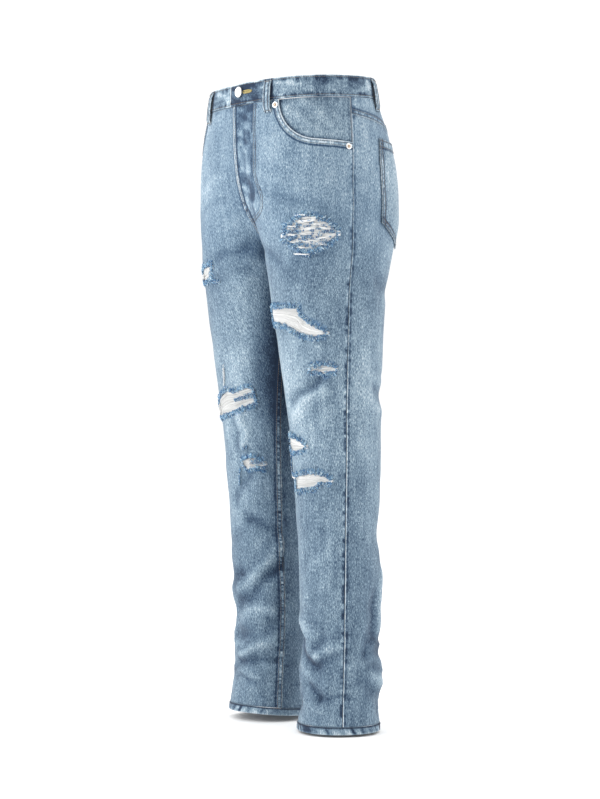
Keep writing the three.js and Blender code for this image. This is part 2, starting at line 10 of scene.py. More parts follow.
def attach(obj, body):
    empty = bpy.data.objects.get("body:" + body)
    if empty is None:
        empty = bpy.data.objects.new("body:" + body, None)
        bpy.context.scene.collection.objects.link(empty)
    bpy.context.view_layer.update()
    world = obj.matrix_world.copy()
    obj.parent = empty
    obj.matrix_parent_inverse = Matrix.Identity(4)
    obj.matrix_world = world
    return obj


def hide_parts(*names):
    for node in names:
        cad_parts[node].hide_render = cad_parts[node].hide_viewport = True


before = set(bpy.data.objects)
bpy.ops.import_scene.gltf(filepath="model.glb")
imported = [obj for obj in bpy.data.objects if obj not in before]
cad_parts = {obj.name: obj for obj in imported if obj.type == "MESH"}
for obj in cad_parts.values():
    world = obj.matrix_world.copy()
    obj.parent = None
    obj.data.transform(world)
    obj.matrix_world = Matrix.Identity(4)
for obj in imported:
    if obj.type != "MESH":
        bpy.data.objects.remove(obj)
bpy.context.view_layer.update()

# Ripped straight-leg jeans, filled out with nobody inside. Lengths here are in millimetres and
# become metres when a mesh is made. +Z up, front facing -Y, the wearer's left on +X. A place on
# the cloth is (half, w, z): half 1 is the wearer's left and -1 the right, w is the distance
# round from the side seam (- to the front, + to the back), z the height.

MM = 0.001
rng = np.random.default_rng(7)

# ------------------------------------------------------------------ sizes, as in the CAD

CLOTH = 1.2
SEAM = 0.15
WAIST_TOP = 18.5
WAIST_SEAM = -16.0
CROTCH = -268.0
HEM_TOP = -997.0
HEM_BOTTOM = -1009.0
WAIST_TILT = 0.06
YOKE_AT_SIDE = -44.0
YOKE_SLOPE = -0.2
MOUTH_START = -121.0
MOUTH_CORNER = -60.0
MOUTH_CORNER_Z = -84.0
MOUTH_SIDE_Z = -89.0
FACING_REACH = 15.0
FACING_DEPTH = 2.6
FLY_LAP = 3.0
FLY_END = -190.0
FLY_LIFT = 1.5
BAND_PROUD = 0.9
BAND_WALL = 2.4
BAND_LAP = 10.0
BAND_UNDERLAP = 14.0
BAND_LIFT = 2.7
LOOP_WIDTH = 13.0
LOOP_WALL = 1.6
LOOP_TOP = 15.0
LOOP_BOTTOM = -36.0
LOOP_GAP = 3.2
LOOP_FRONT = 79.0
LOOP_BACK = 276.0

# Level sections: z, outer edge x, lobe centre x and y, depth to front and back, squareness,
# angles of the side seam and of the inseam, half width over which the halves blend.
SECTIONS = np.array([
    (44, 145, 8, 1, 110, 105, 2.45, 2, 180, 40),
    (18, 147, 10, 1, 110, 106, 2.45, 2, 180, 40),
    (-24, 153, 24, 1, 112, 110, 2.4, 1, 180, 38),
    (-60, 161, 38, 3, 114, 117, 2.38, -2, 180, 36),
    (-100, 169, 51, 5, 116, 121, 2.35, -5, 180, 33),
    (-140, 174, 60, 7, 116, 121, 2.3, -8, 180, 29),
    (-180, 177, 71, 8, 114, 118, 2.25, -10, 180, 23),
    (-210, 179, 79, 8, 110, 114, 2.2, -12, 180, 16),
    (-241, 180, 86, 8, 106, 107, 2.15, -13, 180, 8),
    (CROTCH, 181, 90.5, 7, 102, 100, 2.12, -14, 180, 0),
    (-334, 179, 92, 5, 90, 90, 2.08, -16, 184, 0),
    (-411, 175, 93, 8, 80, 82, 2.05, -18, 190, 0),
    (-489, 169, 93, 12, 74, 76, 2.03, -20, 194, 0),
    (-566, 165, 94, 17, 69, 71, 2.02, -23, 196, 0),
    (-644, 162, 94, 21, 67, 67, 2, -26, 197, 0),
    (-721, 160, 95, 24, 65, 65, 2, -29, 196, 0),
    (-799, 159, 95, 26, 64, 63, 2, -31, 194, 0),
    (-876, 158, 95, 26, 62, 62, 2, -32, 194, 0),
    (-954, 158, 95, 24, 62, 62, 2, -32, 196, 0),
    (-1009, 162, 96, 22, 66, 66, 2, -32, 196, 0),
    (-1034, 162, 96, 22, 66, 66, 2, -32, 196, 0),
])

# Folds: (half, (w, z) from, (w, z) to, rise, reach). Ridges rise, troughs fall.
FOLDS = [
    (1, (-42, -455), (-104, -493), -4, 11),
    (1, (-40, -478), (-100, -518), 3, 10),
    (1, (-76, -873), (-45, -889), 4, 9),
    (1, (-45, -889), (0, -870), 4, 9),
    (1, (-69, -938), (-43, -951), -4, 9),
    (1, (-43, -951), (10, -955), -3, 9),
    (1, (40, -880), (130, -900), -4, 11),
    (1, (50, -925), (130, -935), 3, 12),
    (1, (60, -470), (170, -500), -4, 13),
    (1, (60, -300), (200, -335), -3, 14),
    (-1, (-150, -728), (-70, -806), 4, 11),
    (-1, (-160, -752), (-122, -772), -4, 12),
    (-1, (-130, -886), (-73, -914), 4, 9),
    (-1, (-142, -917), (-70, -927), -4, 8),
    (-1, (-90, -879), (-45, -880), -3, 9),
    (-1, (-10, -730), (60, -760), -3, 12),
    (-1, (40, -880), (130, -900), 3, 11),
    (-1, (60, -480), (170, -505), -4, 13),
    (-1, (60, -305), (200, -335), -3, 14),
]

# Smaller creases that only the cloth's fine surface shows.
CREASES = [
    (1, (70, -706), (125, -706), -6.0, 42),
    (1, (-95, -868), (-50, -905), -4.0, 13),
    (1, (-112, -835), (-60, -862), 3.0, 14),
    (1, (88, -760), (70, -850), 3.0, 12),
    (1, (70, -790), (48, -860), -3.0, 12),
    (1, (50, -880), (95, -905), 3.0, 11),
    (1, (-40, -700), (-75, -745), -2.0, 14),
    (1, (-130, -868), (-95, -868), -5.0, 18),
    (1, (-130, -962), (-95, -962), -4.5, 18),
    (1, (75, -868), (120, -860), -3.5, 16),
    (1, (75, -925), (120, -925), 2.5, 16),
    (1, (75, -968), (120, -968), -3.0, 14),
    (1, (-112, -28), (-52, -76), 1.3, 6),
    (1, (-82, -22), (-34, -62), 1.2, 6),
    (1, (-58, -20), (-14, -46), -1.0, 6),
    (1, (-196, -128), (-120, -146), 1.3, 8),
    (1, (-190, -158), (-92, -182), -1.4, 9),
    (1, (-180, -188), (-70, -204), 1.2, 9),
    (1, (60, -104), (20, -150), -1.2, 9),
    (1, (-206, -239), (-123, -275), -2.0, 10),
    (1, (-160, -262), (-90, -300), -1.0, 9),
    (1, (-30, -660), (-80, -700), -1.0, 12),
    (1, (-20, -760), (-70, -800), 1.2, 12),
    (1, (-100, -905), (-60, -925), 1.4, 8),
    (1, (10, -905), (60, -892), 1.4, 8),
    (1, (-80, -968), (-30, -975), 1.2, 7),
    (1, (15, -930), (60, -945), -1.4, 8),
    (1, (20, -180), (90, -230), -1.2, 14),
    (1, (60, -500), (140, -520), 1.4, 10),
    (1, (50, -440), (120, -452), -1.2, 9),
    (-1, (-60, -856), (10, -858), -6.5, 24),
    (-1, (-150, -700), (-100, -690), -3.0, 14),
    (-1, (-116, -512), (-110, -562), 2.2, 7),
    (-1, (-99, -508), (-94, -560), -2.4, 8),
    (-1, (-112, -604), (-76, -660), -3.2, 10),
    (-1, (-196, -128), (-120, -150), 1.2, 9),
    (-1, (-190, -165), (-100, -190), -1.3, 9),
    (-1, (-120, -835), (-70, -850), 3.0, 12),
    (-1, (-105, -800), (-60, -835), -3.0, 14),
    (-1, (-70, -780), (-10, -780), -2.5, 22),
    (-1, (-50, -940), (0, -940), -3.0, 16),
    (-1, (-210, -238), (-150, -258), -3.0, 10),
    (-1, (-200, -275), (-120, -300), -1.5, 11),
    (-1, (-110, -690), (-50, -720), -1.2, 12),
    (-1, (-95, -954), (-48, -958), -1.6, 6),
    (-1, (-100, -945), (-50, -946), 1.4, 6),
    (-1, (-110, -860), (-60, -858), 1.2, 8),
    (-1, (-70, -893), (-40, -897), 1.4, 7),
    (-1, (10, -930), (80, -945), -1.4, 8),
    (-1, (60, -500), (140, -520), 1.4, 10),
    (-1, (50, -440), (120, -452), -1.2, 9),
]

# Rips: stations across the leg (w, upper edge, lower edge).
RIPS = {
    "rip_thigh_left": (1, [(-114, -232, -238), (-100, -216, -246), (-80, -207, -257),
                           (-60, -208, -256), (-42, -218, -246), (-28, -229, -236)]),
    "rip_above_knee_left": (1, [(-176, -350, -356), (-150, -344, -365), (-113, -345, -370),
                                (-83, -346, -383), (-78, -362, -386), (-60, -373, -390),
                                (-36, -384, -388)]),
    "rip_knee_left": (1, [(-58, -439, -443), (-39, -436, -448), (-20, -440, -444)]),
    "rip_shin_left": (1, [(-136, -549, -562), (-115, -546, -568), (-95, -548, -568),
                          (-69, -559, -564)]),
    "rip_calf_left": (1, [(-96, -608, -628), (-74, -607, -627), (-54, -603, -625),
                          (-43, -605, -616), (-26, -612, -616)]),
    "rip_thigh_right": (-1, [(-128, -268, -274), (-106, -270, -292), (-84, -277, -290),
                             (-66, -280, -285)]),
    "rip_knee_right": (-1, [(-146, -468, -492), (-134, -470, -495), (-112, -475, -502),
                            (-92, -474, -507), (-74, -481, -511), (-50, -490, -515),
                            (-24, -503, -510)]),
    "rip_shin_right": (-1, [(-138, -588, -594), (-120, -582, -597), (-102, -586, -598)]),
}


# ------------------------------------------------------------------ small numeric helpers

def mix(a, b, t):
    return a + (b - a) * t


def smoothstep(low, high, x):
    t = np.clip((x - low) / (high - low), 0, 1)
    return t * t * (3 - 2 * t)


def bell(x, width):
    """1 at nought, falling away over width."""
    return np.exp(-(x / width) ** 2)


def window(x, low, high):
    """1 between low and high, 0 outside, with soft ends."""
    return smoothstep(low - 1.5, low + 1.5, x) * smoothstep(high + 1.5, high - 1.5, x)


LATTICE = np.random.default_rng(3).random((256, 256))


def noise(x, y):
    """Smooth noise from 0 to 1, one cell to a unit."""
    x, y = np.broadcast_arrays(np.asarray(x, float), np.asarray(y, float))
    x0, y0 = np.floor(x).astype(int), np.floor(y).astype(int)
    fx, fy = x - x0, y - y0
    fx, fy = fx * fx * (3 - 2 * fx), fy * fy * (3 - 2 * fy)
    value = lambda i, j: LATTICE[i % 256, j % 256]
    low = mix(value(x0, y0), value(x0 + 1, y0), fx)
    high = mix(value(x0, y0 + 1), value(x0 + 1, y0 + 1), fx)
    return mix(low, high, fy)


def pairs(w, z):
    """Places (w, z), one to a row."""
    return np.stack([w, z], 1)


def within(w, z, line, reach):
    """Which places lie inside a line's box, widened by reach."""
    low, high = line.min(0) - reach, line.max(0) + reach
    return (w > low[0]) & (w < high[0]) & (z > low[1]) & (z < high[1])


def even_steps(line, step):
    """The same open polyline with a point about every step."""
    line = np.asarray(line, float)
    run = np.concatenate([[0], np.cumsum(np.hypot(*np.diff(line, axis=0).T))])
    count = max(1, round(run[-1] / step))
    at = np.linspace(0, run[-1], count + 1)
    return pairs(np.interp(at, run, line[:, 0]), np.interp(at, run, line[:, 1]))


def shifted(line, distance):
    """A polyline moved sideways, to its left when distance is positive."""
    line = np.asarray(line, float)
    ahead = np.gradient(line, axis=0)
    ahead /= np.hypot(*ahead.T)[:, None] + 1e-9
    return line + distance * pairs(-ahead[:, 1], ahead[:, 0])


def along_and_away(w, z, line):
    """How far along a polyline each place lies, and how far from it."""
    best = np.full(w.shape, 1e9)
    along = np.zeros(w.shape)
    start = 0.0
    for (aw, az), (bw, bz) in zip(line[:-1], line[1:]):
        length = math.hypot(bw - aw, bz - az)
        if length < 1e-9:
            continue
        t = np.clip(((w - aw) * (bw - aw) + (z - az) * (bz - az)) / length ** 2, 0, 1)
        away = np.hypot(w - aw - t * (bw - aw), z - az - t * (bz - az))
        nearer = away < best
        best = np.where(nearer, away, best)
        along = np.where(nearer, start + t * length, along)
        start += length
    return along, best


def inside(w, z, outline):
    """Which places lie inside a closed outline."""
    result = np.zeros(w.shape, bool)
    aw, az = outline[-1]
    for bw, bz in outline:
        if az != bz:
            crosses = (az > z) != (bz > z)
            result ^= crosses & (w < (bw - aw) * (z - az) / (bz - az) + aw)
        aw, az = bw, bz
    return result


# ------------------------------------------------------------------ the garment's form

RING_STEPS = 480
TABLE_TOP = 42
TABLE_BOTTOM = -1032
STEEPEST = 0.5


def section_at(z):
    """A smooth curve through the stated sections."""
    heights = SECTIONS[:, 0]
    i = 0
    while i < len(heights) - 2 and heights[i + 1] > z:
        i += 1
    before, after = SECTIONS[max(i - 1, 0)], SECTIONS[min(i + 2, len(heights) - 1)]
    a, b = SECTIONS[i], SECTIONS[i + 1]
    span = b[0] - a[0]
    t = (z - a[0]) / span
    start = (b - before) * span / (b[0] - before[0])
    end = (after - a) * span / (after[0] - a[0])
    return ((2 * t ** 3 - 3 * t ** 2 + 1) * a + (t ** 3 - 2 * t ** 2 + t) * start
            + (3 * t ** 2 - 2 * t ** 3) * b + (t ** 3 - t ** 2) * end)


def ring_at(z):
    """Half of the level outline: evenly spaced x and y, run to the side seam, whole run."""
    _, outer, cx, cy, front, back, power, side, inseam, blend = section_at(z)
    joined = z > CROTCH + 0.001
    wide = outer - cx
    first, last = (-180, 180) if joined else (inseam - 360, inseam)
    angle = np.radians(np.linspace(first, last, RING_STEPS + 1))
    c, s = np.cos(angle), np.sin(angle)
    deep = np.where(s < 0, front, back)
    r = (np.abs(c / wide) ** power + np.abs(s / deep) ** power) ** (-1 / power)
    x, y = cx + r * c, cy + r * s
    if joined:
        keep = np.flatnonzero(x > 0)
        a, b = keep[0], keep[-1]
        ends = []
        for i, j in ((a, max(a - 1, 0)), (b, min(b + 1, len(x) - 1))):
            t = 0.0 if i == j else x[i] / (x[i] - x[j])
            ends.append(mix(y[i], y[j], t))
        x = np.concatenate([[0], x[keep], [0]])
        y = np.concatenate([[ends[0]], y[keep], [ends[1]]])
        angle = np.concatenate([[angle[a]], angle[keep], [angle[b]]])
        if blend >= 0.5:
            middle = len(x) / 2
            order = np.arange(len(x))
            for near, to_middle in (((x < blend) & (order < middle), 1),
                                    ((x < blend) & (order >= middle), -1)):
                index = np.flatnonzero(near)
                edge = index[-1] if to_middle > 0 else index[0]
                beyond = edge + to_middle
                slope = (y[beyond] - y[edge]) / (x[beyond] - x[edge])
                centre_y = y[edge] - slope * x[edge] / 2
                y[index] = centre_y + slope / (2 * x[edge]) * x[index] ** 2
    run = np.concatenate([[0], np.cumsum(np.hypot(np.diff(x), np.diff(y)))])
    even = np.linspace(0, run[-1], RING_STEPS + 1)
    side_run = np.interp(math.radians(side), angle, run)
    return np.interp(even, run, x), np.interp(even, run, y), side_run, run[-1]


LEVELS = np.arange(TABLE_TOP, TABLE_BOTTOM - 1, -1)
RINGS = [ring_at(float(z)) for z in LEVELS]
RING_X = np.array([ring[0] for ring in RINGS])
RING_Y = np.array([ring[1] for ring in RINGS])
SIDE_RUN = np.array([ring[2] for ring in RINGS])
WHOLE_RUN = np.array([ring[3] for ring in RINGS])


def side_run(z):
    return np.interp(-np.asarray(z, float), -LEVELS, SIDE_RUN)


def whole_run(z):
    return np.interp(-np.asarray(z, float), -LEVELS, WHOLE_RUN)


def ring_point(share, z):
    row = np.clip(TABLE_TOP - z, 0, len(LEVELS) - 1.001)
    column = np.clip(share, 0, 1) * RING_STEPS
    r = row.astype(int)
    c = np.minimum(column.astype(int), RING_STEPS - 1)
    fr, fc = row - r, column - c
    pick = lambda t: mix(mix(t[r, c], t[r, c + 1], fc), mix(t[r + 1, c], t[r + 1, c + 1], fc), fr)
    return pick(RING_X), pick(RING_Y)


def outline_point(w, z):
    """Point of the left outline; past the centre line it goes on, mirrored."""
    total = whole_run(z)
    run = side_run(z) + w
    joined = z > CROTCH
    mirror = np.where(joined & ((run < 0) | (run > total)), -1.0, 1.0)
    run = np.where(joined, np.abs(run), np.mod(run, total))
    run = np.where(joined & (run > total), 2 * total - run, run)
    x, y = ring_point(run / total, z)
    return mirror * x, y, run / total, mirror


def wander(w, z):
    """Bends straight creases a little, as cloth does."""
    return (w + 16 * (noise(w / 31 + 60, z / 27) - 0.5), z + 15 * (noise(w / 33, z / 29 + 80) - 0.5))


def crease_rise(half, w, z, creases):
    """How far the folds listed lift or sink the cloth at each place."""
    rise = np.zeros(w.shape)
    w, z = wander(w, z)
    for owner, start, end, height, reach in creases:
        if owner != half:
            continue
        dw, dz = end[0] - start[0], end[1] - start[1]
        t = ((w - start[0]) * dw + (z - start[1]) * dz) / (dw * dw + dz * dz)
        t = np.clip(t, 0, 1)
        away = np.hypot(w - start[0] - t * dw, z - start[1] - t * dz)
        rise += height * bell(away, reach)
    return rise


def cloth_waves(half, w, z):
    """The cloth's own unevenness, still at the centre line and the inseam."""
    run = side_run(z) + w
    calm = smoothstep(0, 30, run) * smoothstep(0, 30, whole_run(z) - run)
    calm = calm * smoothstep(WAIST_TOP, -70, z)
    shift = 40 if half > 0 else 90
    broad = noise(w / 46 + shift, z / 75 + 7) - 0.5
    fine = noise(w / 17 + shift, z / 26 + 31) - 0.5
    low = mix(1.0, 1.6, smoothstep(-600, -850, z))
    tilt = z + 0.35 * (w - 30) * (1 if half > 0 else -1)
    warp = 9 * (noise(w / 60 + shift, z / 60) - 0.5)
    ridge = 1 - np.abs(2 * noise(w / 62 + shift, (tilt + warp) / 21 + 3) - 1)
    crumple = (ridge ** 3 - 0.3) * smoothstep(-770, -860, z) * smoothstep(-1003, -975, z)
    return calm * low * (2.2 * broad + 1.1 * fine) + calm * 3.0 * crumple


def surface(half, w, z, out=0.0):
    """Points of the cloth's outer face, moved out along its outward direction."""
    w, z, out = np.broadcast_arrays(*(np.asarray(a, float) for a in (w, z, out)))
    x, y, share, mirror = outline_point(w, z)
    step = 1.5
    xa, ya, _, _ = outline_point(w + step, z)
    xb, yb, _, _ = outline_point(w - step, z)
    xu, yu = ring_point(share, z + step)
    xd, yd = ring_point(share, z - step)
    ax, ay = xa - xb, ya - yb
    bx, by, bz = mirror * (xu - xd), yu - yd, 2 * step
    nx, ny, nz = ay * bz, -ax * bz, ax * by - ay * bx
    length = np.sqrt(nx ** 2 + ny ** 2 + nz ** 2) + 1e-9
    nz = np.clip(nz / length, -STEEPEST, STEEPEST)
    nx, ny = nx / length, ny / length
    length = np.sqrt(nx ** 2 + ny ** 2 + nz ** 2)
    out = out + crease_rise(half, w, z, FOLDS) + crease_rise(half, w, z, CREASES)
    out = (out + cloth_waves(half, w, z)) / length
    x, y, up = x + nx * out, y + ny * out, z + nz * out
    x = np.where(z <= CROTCH + 12, np.maximum(x, SEAM), x)
    # The waist tilts up towards the back, and the right leg ends higher, most at its front.
    up = up + WAIST_TILT * y * np.clip((z + 180) / 160, 0, 1)
    if half < 0:
        up = up + smoothstep(-560, -960, z) * (5 - 0.09 * (y - 22))
    return np.stack([half * x, y, up], -1)


# ------------------------------------------------------------------ materials

class Recipe:
    """A new material's nodes, with short ways to add and join them."""

    def __init__(self, name, roughness, sockets):
        self.material = bpy.data.materials.new(name)
        self.material.use_nodes = True
        self.tree = self.material.node_tree
        self.shader = self.tree.nodes["Principled BSDF"]
        self.feed(self.shader, {"Roughness": roughness, **sockets})

    def feed(self, node, sockets):
        """Gives sockets their values, or links them to the outputs of other nodes."""
        for socket, value in sockets.items():
            if isinstance(value, bpy.types.NodeSocket):
                self.tree.links.new(value, node.inputs[socket])
            else:
                node.inputs[socket].default_value = value

    def node(self, kind, sockets, **settings):
        node = self.tree.nodes.new(kind)
        for key, value in settings.items():
            setattr(node, key, value)
        self.feed(node, sockets)
        return node

    def math(self, operation, a, b):
        return self.node("ShaderNodeMath", {0: a, 1: b}, operation=operation).outputs[0]

    def painted(self):
        """The colours painted on the piece: for cloth its fading, darker areas, painted highlight and
        painted shade and its blue tint; for thread its tone.
        """
        return self.node("ShaderNodeVertexColor", {}, layer_name="WearAndShading").outputs["Color"]

    def bump(self, height, strength, distance):
        node = self.node("ShaderNodeBump",
                         {"Strength": strength, "Distance": distance, "Height": height})
        self.feed(self.shader, {"Normal": node.outputs[0]})


# The denim's grain, finest first: cells to a metre round the leg and up it, detail, offset and
# strength. The first two also rise as bumps.
GRAIN = [(760, 230, 1, 0, 0.86), (1150, 650, 0, 3, 0.36), (330, 60, 2, 5, 0.32),
         (95, 17, 2, 13, 0.26), (16, 10, 2, 9, 0.34)]
BLUE_TINT = (0.10, 0.205, 0.35, 1)


def denim(name, stops, contrast=1.0):
    """Washed twill: streaky warp, speckle, soft clouds, and the colours painted on each piece. Red lifts
    the tone (fading, painted highlight), green sinks it (darker cloth, painted shade), blue tints it."""
    recipe = Recipe(name, 0.92, {"Specular IOR Level": 0.25, "Sheen Weight": 0.12,
                                 "Sheen Roughness": 0.5})
    uv = recipe.node("ShaderNodeUVMap", {}, uv_map="Cloth").outputs[0]
    tone = 0.5
    parts = []
    for scale_w, scale_z, detail, offset, strength in GRAIN:
        place = recipe.node("ShaderNodeMapping", {"Vector": uv, "Scale": (scale_w, scale_z, 1),
                                                  "Location": (offset, offset, 0)})
        texture = recipe.node("ShaderNodeTexNoise",
                              {"Vector": place.outputs[0], "Scale": 1.0, "Detail": detail,
                               "Roughness": 0.6}, noise_dimensions="2D")
        centred = recipe.math("SUBTRACT", texture.outputs["Fac"], 0.5)
        parts.append(recipe.math("MULTIPLY", centred, strength * contrast))
        tone = recipe.math("ADD", parts[-1], tone)
    wear_and_shading = recipe.node("ShaderNodeSeparateColor", {0: recipe.painted()}).outputs
    tone = recipe.math("ADD", tone, recipe.math("MULTIPLY", wear_and_shading[0], 0.5))
    tone = recipe.math("SUBTRACT", tone, recipe.math("MULTIPLY", wear_and_shading[1], 0.5))
    ramp = recipe.node("ShaderNodeValToRGB", {0: tone})
    elements = ramp.color_ramp.elements
    while len(elements) < len(stops):
        elements.new(0.5)
    for element, (position, colour) in zip(elements, stops):
        element.position = position
        element.color = (*colour, 1)
    tint = recipe.node("ShaderNodeMix", {"Factor": wear_and_shading[2], 6: ramp.outputs[0], 7: BLUE_TINT},
                       data_type="RGBA")
    recipe.feed(recipe.shader, {"Base Color": tint.outputs[2]})
    twill = recipe.node("ShaderNodeTexWave",
                        {"Vector": uv, "Scale": 260, "Distortion": 1.5, "Detail": 1},
                        wave_type="BANDS", bands_direction="DIAGONAL")
    height = recipe.math("MULTIPLY", twill.outputs["Fac"], 0.35)
    for part, strength in ((parts[0], 0.7), (parts[1], 0.6)):
        height = recipe.math("ADD", height, recipe.math("MULTIPLY", part, strength))
    recipe.bump(height, 0.55, 0.0004)
    return recipe.material


DENIM_STOPS = [(0.0, (0.012, 0.026, 0.055)), (0.25, (0.046, 0.082, 0.134)),
               (0.5, (0.125, 0.188, 0.252)), (0.72, (0.258, 0.348, 0.418)),
               (1.0, (0.60, 0.66, 0.70))]
BACK_STOPS = [(0.0, (0.20, 0.26, 0.33)), (0.5, (0.42, 0.47, 0.53)), (1.0, (0.68, 0.71, 0.74))]

denim_face = denim("denim", DENIM_STOPS)
denim_back = denim("denim_inside", BACK_STOPS, contrast=0.6)


def thread_material(name, colour, roughness=0.8):
    """Thread or yarn whose own shade is painted on each strand."""
    recipe = Recipe(name, roughness, {"Specular IOR Level": 0.2})
    tint = recipe.node("ShaderNodeMix", {"Factor": 1.0, 6: (*colour, 1), 7: recipe.painted()},
                       data_type="RGBA", blend_type="MULTIPLY")
    recipe.feed(recipe.shader, {"Base Color": tint.outputs[2]})
    return recipe.material


topstitch = thread_material("topstitch", (0.20, 0.165, 0.135))
dark_stitch = thread_material("dark_stitch", (0.05, 0.055, 0.07))
yarn_white = thread_material("weft_yarn", (0.72, 0.725, 0.72), 0.9)
yarn_blue = thread_material("warp_yarn", (0.30, 0.45, 0.60), 0.9)
hole_thread = thread_material("buttonhole_thread", (0.36, 0.30, 0.13))


def metal(name, colour, roughness):
    recipe = Recipe(name, roughness, {"Base Color": (*colour, 1), "Metallic": 0.9})
    place = recipe.node("ShaderNodeTexCoord", {})
    texture = recipe.node("ShaderNodeTexNoise",
                          {"Vector": place.outputs["Object"], "Scale": 900, "Detail": 3})
    recipe.bump(texture.outputs["Fac"], 0.25, 0.0002)
    return recipe.material


nickel = metal("dull_nickel", (0.80, 0.79, 0.77), 0.38)
tarnish = metal("worn_copper", (0.42, 0.33, 0.25), 0.5)


# ------------------------------------------------------------------ making meshes

def make_object(name, points, faces, materials, face_materials=None, uv=None, wear_and_shading=None):
    """One mesh object from points in millimetres, with cloth coordinates and painted colours: fading,
    painted highlight and painted shade.
    """
    name = f"{name}_piece"
    mesh = bpy.data.meshes.new(name)
    mesh.from_pydata((np.asarray(points) * MM).tolist(), [], faces)
    for material in materials:
        mesh.materials.append(material)
    if face_materials is not None:
        mesh.polygons.foreach_set("material_index", np.asarray(face_materials, np.int32))
    mesh.polygons.foreach_set("use_smooth", np.ones(len(mesh.polygons), bool))
    corner = np.empty(len(mesh.loops), np.int32)
    mesh.loops.foreach_get("vertex_index", corner)
    if uv is not None:
        layer = mesh.uv_layers.new(name="Cloth")
        layer.data.foreach_set("uv", (np.asarray(uv)[corner] * MM).astype(np.float32).ravel())
    if wear_and_shading is None:
        wear_and_shading = np.zeros((len(points), 3))
    layer = mesh.color_attributes.new("WearAndShading", "FLOAT_COLOR", "POINT")
    rgba = np.ones((len(points), 4), np.float32)
    rgba[:, :3] = wear_and_shading
    layer.data.foreach_set("color", rgba.ravel())
    mesh.update()
    obj = bpy.data.objects.new(name, mesh)
    bpy.context.scene.collection.objects.link(obj)
    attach(obj, "root")
    return obj


# How far apart a cloth mesh's points are near its seams and rips, and inside the garment.
FINE_STEP = 1.45
INSIDE_STEP = 6.5
INSIDE_FINE = 3.0

# Where each kind of piece takes its grain from, in millimetres along the cloth's texture.
RIGHT_GRAIN = 900
BAND_GRAIN = 2000
LOOP_GRAIN = 3000
HEM_GRAIN = 4000


def rim_edges(triangles):
    """Directed edges that only one triangle has."""
    seen = {}
    for a, b, c in triangles:
        for edge in ((a, b), (b, c), (c, a)):
            seen[edge] = True
    return [edge for edge in seen if (edge[1], edge[0]) not in seen]


class Pattern:
    """A flat pattern meshed twice on the same rim: finely outside and coarsely inside."""

    def __init__(self, outline, seams, holes=(), step=3.8):
        self.w, self.z, self.outer = mesh_pattern(outline, holes, step, seams, FINE_STEP)
        self.wi, self.zi, self.inner = mesh_pattern(outline, holes, INSIDE_STEP, (), INSIDE_FINE)


def cloth_wall(name, half, pattern, lift_at, wear_and_shading_at, base):
    """A closed wall of cloth over a meshed flat pattern."""
    outer = surface(half, pattern.w, pattern.z, base + lift_at(pattern.w, pattern.z))
    inner = surface(half, pattern.wi, pattern.zi, base + lift_at(pattern.wi, pattern.zi) - CLOTH)
    count = len(pattern.w)
    flip = half < 0
    faces = [(a, c, b) if flip else (a, b, c) for a, b, c in pattern.outer]
    faces += [(a + count, b + count, c + count) if flip else (a + count, c + count, b + count)
              for a, b, c in pattern.inner]
    inner_number = {(round(w, 4), round(z, 4)): k + count
                    for k, (w, z) in enumerate(zip(pattern.wi, pattern.zi))}
    rim = rim_edges(pattern.outer)
    below = lambda k: inner_number[(round(pattern.w[k], 4), round(pattern.z[k], 4))]
    for a, b in rim:
        quad = (a, below(a), below(b), b)
        faces.append(tuple(reversed(quad)) if flip else quad)
    kinds = [0] * len(pattern.outer) + [1] * len(pattern.inner) + [0] * len(rim)
    shift = 0 if half > 0 else RIGHT_GRAIN
    w, z = np.concatenate([pattern.w, pattern.wi]), np.concatenate([pattern.z, pattern.zi])
    return make_object(name, np.concatenate([outer, inner]), faces, [denim_face, denim_back], kinds,
                       pairs(w + shift, z), wear_and_shading_at(w, z))


def closed(outline):
    """An outline with its first point again at its end."""
    return np.vstack([outline, outline[:1]])


def staggered(low, high, step):
    """Evenly spread points over a rectangle, every other row shifted."""
    fill = []
    for k, z in enumerate(np.arange(low[1], high[1], step * 0.87)):
        w = np.arange(low[0] + (k % 2) * step / 2, high[0], step)
        fill.append(pairs(w, np.full_like(w, z)))
    return np.concatenate(fill)


def clearance(points, line, limit):
    """Distance of each point to a line, no further than limit; cheap where the line is far."""
    away = np.full(len(points), float(limit))
    for start in range(0, len(line) - 1, 12):
        part = line[start:start + 13]
        low, high = part.min(0) - limit, part.max(0) + limit
        near = np.flatnonzero(((points > low) & (points < high)).all(1))
        if len(near):
            _, d = along_and_away(points[near, 0], points[near, 1], part)
            away[near] = np.minimum(away[near], d)
    return away


